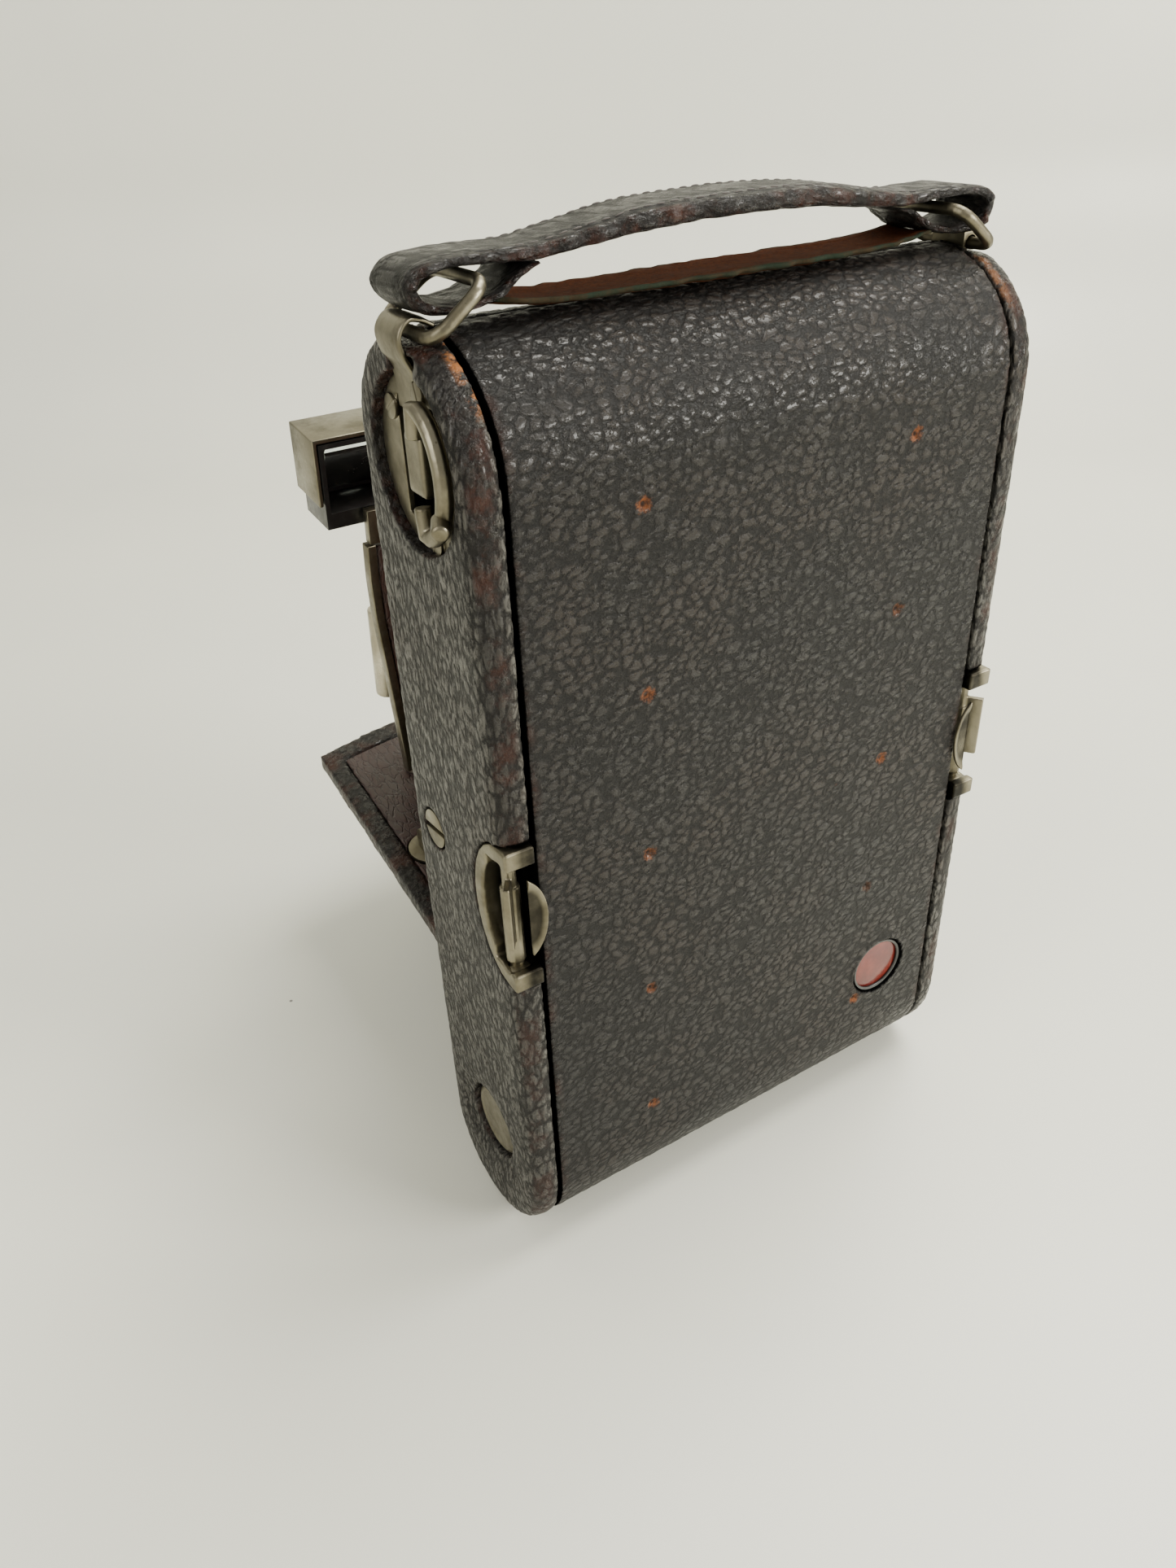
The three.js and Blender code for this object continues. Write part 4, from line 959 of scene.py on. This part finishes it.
def shutter():
    """The shutter's case and ring, the lens barrel and its glasses, and what stands round them."""
    ring = [(16.0, 0), (25.6, 0), (25.2, 1.5), (16.4, 1.5)]
    turned_at("shutter_face_ring", "shutter_face_ring_fine", "nickel_bright",
              rounded([(r * MM, d * MM) for r, d in ring], 0.3 * MM))
    barrel = [
        (8.6, 0), (12.1, 0), (12.1, 15.8), (14.6, 16.8), (14.6, 20.6), (12.6, 22.2), (9.6, 22.2),
        (9.6, 18.6), (8.6, 18.6),
    ]
    turned_at("lens_barrel", "lens_barrel_fine", "brass",
              rounded([(r * MM, d * MM) for r, d in barrel], 0.3 * MM), 128)
    for node, radius, depth in (("front_lens_glass", 9.3, 2.5), ("rear_lens_glass", 8.3, 2.2)):
        dome = [(0, 0), (radius * MM, 0), (radius * MM, 0.9 * MM)]
        for k in range(1, 13):
            t = 1 - k / 12
            dome.append((radius * t * MM, (0.9 + (depth - 0.9) * (1 - t * t)) * MM))
        turned_at(node, f"{node}_fine", "lens", dome)
    crisp("shutter_case", "enamel", 0.35 * MM, 3)
    crisp("speed_dial", "nickel", 0.25 * MM, 3)
    crisp("aperture_lever", "nickel", 0.15 * MM, 2)
    crisp("release_lever", "nickel_bright", 0.25 * MM, 3)
    for side in ("left", "right"):
        crisp(f"shutter_cylinder_{side}", "nickel_bright", 0.4 * MM, 3)
    knurl()
    tick_marks()


def knurl():
    """Fine ribs round the front lens cell."""
    tip = max(Vector(p).dot(OUTWARD) for p in points_of(frame["nodes"]["lens_barrel"].data))
    centre = LENS + OUTWARD * (tip - 3.5 * MM - LENS.dot(OUTWARD))
    count, radius = 72, 14.6 * MM
    side = Vector((1, 0, 0))
    meshes = []
    for k in range(count):
        angle = 2 * math.pi * k / count
        spot = centre + (side * math.cos(angle) + STANDOFF * math.sin(angle)) * radius
        start = spot - OUTWARD * 1.5 * MM
        rib = [(0, 0), (0.28 * MM, 0.25 * MM), (0.28 * MM, 2.75 * MM), (0, 3.0 * MM)]
        meshes.append(lathe(rib, start, OUTWARD, 6))
    new_piece("lens_cell_ribs", joined(meshes), "brass", "standard")


def tick_marks():
    """Raised index marks round the shutter's face ring, with no lettering."""
    points = points_of(frame["nodes"]["shutter_face_ring"].data)
    front = max(Vector(p).dot(OUTWARD) for p in points)
    centre = LENS + OUTWARD * (front - LENS.dot(OUTWARD))
    meshes = []
    for k in range(13):
        angle = math.radians(-60 + 10 * k)
        out = Vector((1, 0, 0)) * math.sin(angle) - STANDOFF * math.cos(angle)
        inner, length = (17.6 * MM, 3.0 * MM) if k % 3 == 0 else (18.6 * MM, 2.0 * MM)
        mark = [(0, 0), (0.22 * MM, 0.1 * MM), (0.22 * MM, length), (0, length + 0.1 * MM)]
        meshes.append(lathe(mark, centre + out * inner, out, 8))
    new_piece("aperture_index_marks", joined(meshes), "enamel", "standard")


def bellows():
    """The pleated bellows, edges rounded and outer corners worn, as one fixed piece on no body."""
    mesh = crisp_mesh(welded_copy("bellows"), 0.35 * MM, 2, 20)
    points = points_of(mesh)
    tips = np.abs(points[:, 0]) + np.abs(points[:, 2] - points[:, 2].mean())
    put_attribute(mesh, "wear", 0.5 * smooth_step(tips, np.percentile(tips, 60), tips.max()))
    piece = new_piece("bellows_fine", mesh, "bellows", None, ["bellows"])
    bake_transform(piece)


def standard():
    crisp("standard_frame", "nickel", 0.3 * MM, 3)
    mesh = softened("lens_board", 0.5 * MM, 2)
    put_attribute(mesh, "wear", np.full(len(mesh.vertices), 0.2))
    new_piece("lens_board_fine", mesh, "board", "standard", ["lens_board"])
    crisp("focus_carriage", "nickel", 0.15 * MM, 2)
    for side in ("left", "right"):
        crisp(f"focus_clamp_{side}", "nickel_bright", 0.3 * MM, 3)
    crisp("bellows_front_frame", "enamel", 0.2 * MM, 2)


def finder():
    crisp("finder_hood", "nickel", 0.35 * MM, 3)
    crisp("finder_body", "enamel", 0.4 * MM, 3)
    crisp("finder_bracket", "nickel", 0.3 * MM, 2)


def bed_metal():
    crisp("bed_track", "nickel", 0.3 * MM, 2)
    crisp("distance_scale", "nickel_bright", 0.1 * MM, 2)
    for side in ("left", "right"):
        crisp(f"bed_strut_{side}", "nickel", 0.2 * MM, 2)
    crisp("leg_hinge", "nickel", 0.2 * MM, 2)
    crisp("bed_leg", "nickel", 0.3 * MM, 3)


# ---- the CAD pieces that stay ----------------------------------------------------------------
KEPT = {
    "film_frame": "enamel", "take_up_spool": "wood", "supply_spool": "wood",
    "film_roller_upper": "nickel_bright", "film_roller_lower": "nickel_bright",
    "bed_hinge_pin": "nickel", "finder_front_lens": "lens", "finder_mirror": "mirror",
}


def kept_pieces():
    for node, look in KEPT.items():
        data = frame["nodes"][node].data
        data.materials.clear()
        data.materials.append(LOOKS[look])


# ---- stage, light and camera -----------------------------------------------------------------
CAMERA = {
    "azimuth": 149.5, "elevation": 32.8, "roll": -2.7,  # degrees, azimuth 0 looking along +Y
    "aim": Vector((-9.7, -12.4, 55.6)) * MM, "distance": 330 * MM, "lens": 27.0,
}


def view_direction():
    """The unit vector from the aim to the camera."""
    turn, rise = math.radians(CAMERA["azimuth"]), math.radians(CAMERA["elevation"])
    return Vector((math.sin(turn) * math.cos(rise), -math.cos(turn) * math.cos(rise), math.sin(rise)))


def make_camera():
    """Above and behind the key side, close, with a wide lens."""
    data = bpy.data.cameras.new("camera")
    data.lens = CAMERA["lens"]
    data.clip_start = 0.01
    camera = bpy.data.objects.new("camera", data)
    bpy.context.scene.collection.objects.link(camera)
    level = (-view_direction()).to_track_quat("-Z", "Y").to_matrix()
    turn = level @ Matrix.Rotation(math.radians(CAMERA["roll"]), 3, "Z")
    place = CAMERA["aim"] + view_direction() * CAMERA["distance"]
    camera.matrix_world = Matrix.Translation(place) @ turn.to_4x4()
    bpy.context.scene.camera = camera


def make_stage():
    """A pale board that sweeps up into a backdrop, square to the view."""
    heading = -view_direction()
    heading.z = 0
    heading.normalize()
    side = Vector((-heading.y, heading.x, 0))
    near, bend, radius, top, half = -1.6, 0.46, 0.16, 1.6, 2.2  # metres from the object
    run = [(near, 0.0), (bend, 0.0)]
    for k in range(1, 17):
        angle = math.radians(90 * k / 16)
        run.append((bend + radius * math.sin(angle), radius * (1 - math.cos(angle))))
    run.append((bend + radius, top))
    bm = bmesh.new()
    rows = [[bm.verts.new(heading * d + side * s + Vector((0, 0, h))) for s in (-half, half)]
            for d, h in run]
    for a, b in zip(rows, rows[1:]):
        bm.faces.new([a[0], a[1], b[1], b[0]])
    mesh = bpy.data.meshes.new("backdrop")
    bm.to_mesh(mesh)
    bm.free()
    mesh.shade_smooth()
    mesh.materials.append(floor_paint())
    floor = bpy.data.objects.new("pale_board", mesh)
    bpy.context.scene.collection.objects.link(floor)


def make_light():
    """A low window behind, for the sheen on the cover's round top, and soft light all round."""
    world = bpy.data.worlds.new("studio")
    bpy.context.scene.world = world
    world.use_nodes = True
    backdrop = world.node_tree.nodes["Background"]
    backdrop.inputs["Color"].default_value = (0.96, 0.95, 0.87, 1)
    backdrop.inputs["Strength"].default_value = 0.60
    aim = Vector((0, 0.05, 0.1))
    for name, place, size, depth, power in (
        ("window", Vector((-0.53, 0.77, 0.42)), 0.45, 0.36, 13.0),
        ("overhead", Vector((-0.50, 0.05, 1.05)), 0.6, 0.6, 16.0),
        ("fill", Vector((0.85, 0.20, 0.55)), 0.5, 0.8, 5.0),
        ("front", Vector((0.15, -1.1, 0.9)), 0.9, 0.9, 9.0),
    ):
        data = bpy.data.lights.new(name, "AREA")
        data.shape = "RECTANGLE"
        data.size = size
        data.size_y = depth
        data.energy = power
        data.color = (1.0, 0.98, 0.91)
        lamp = bpy.data.objects.new(name, data)
        lamp.location = place
        lamp.rotation_mode = "QUATERNION"
        lamp.rotation_quaternion = (aim - place).to_track_quat("-Z", "Y")
        bpy.context.scene.collection.objects.link(lamp)


make_camera()
make_stage()
make_light()
side_leather("side_shell_left", "side_leather_left_fine")
side_leather("side_shell_right", "side_leather_right_fine")
cover_leather()
front_leather("front_panel_upper")
front_leather("front_panel_lower")
bed_pieces()
handle()
rings()
winding_key()
latches()
knobs()
tripod_plug()
red_window()
shutter()
bellows()
standard()
finder()
bed_metal()
kept_pieces()
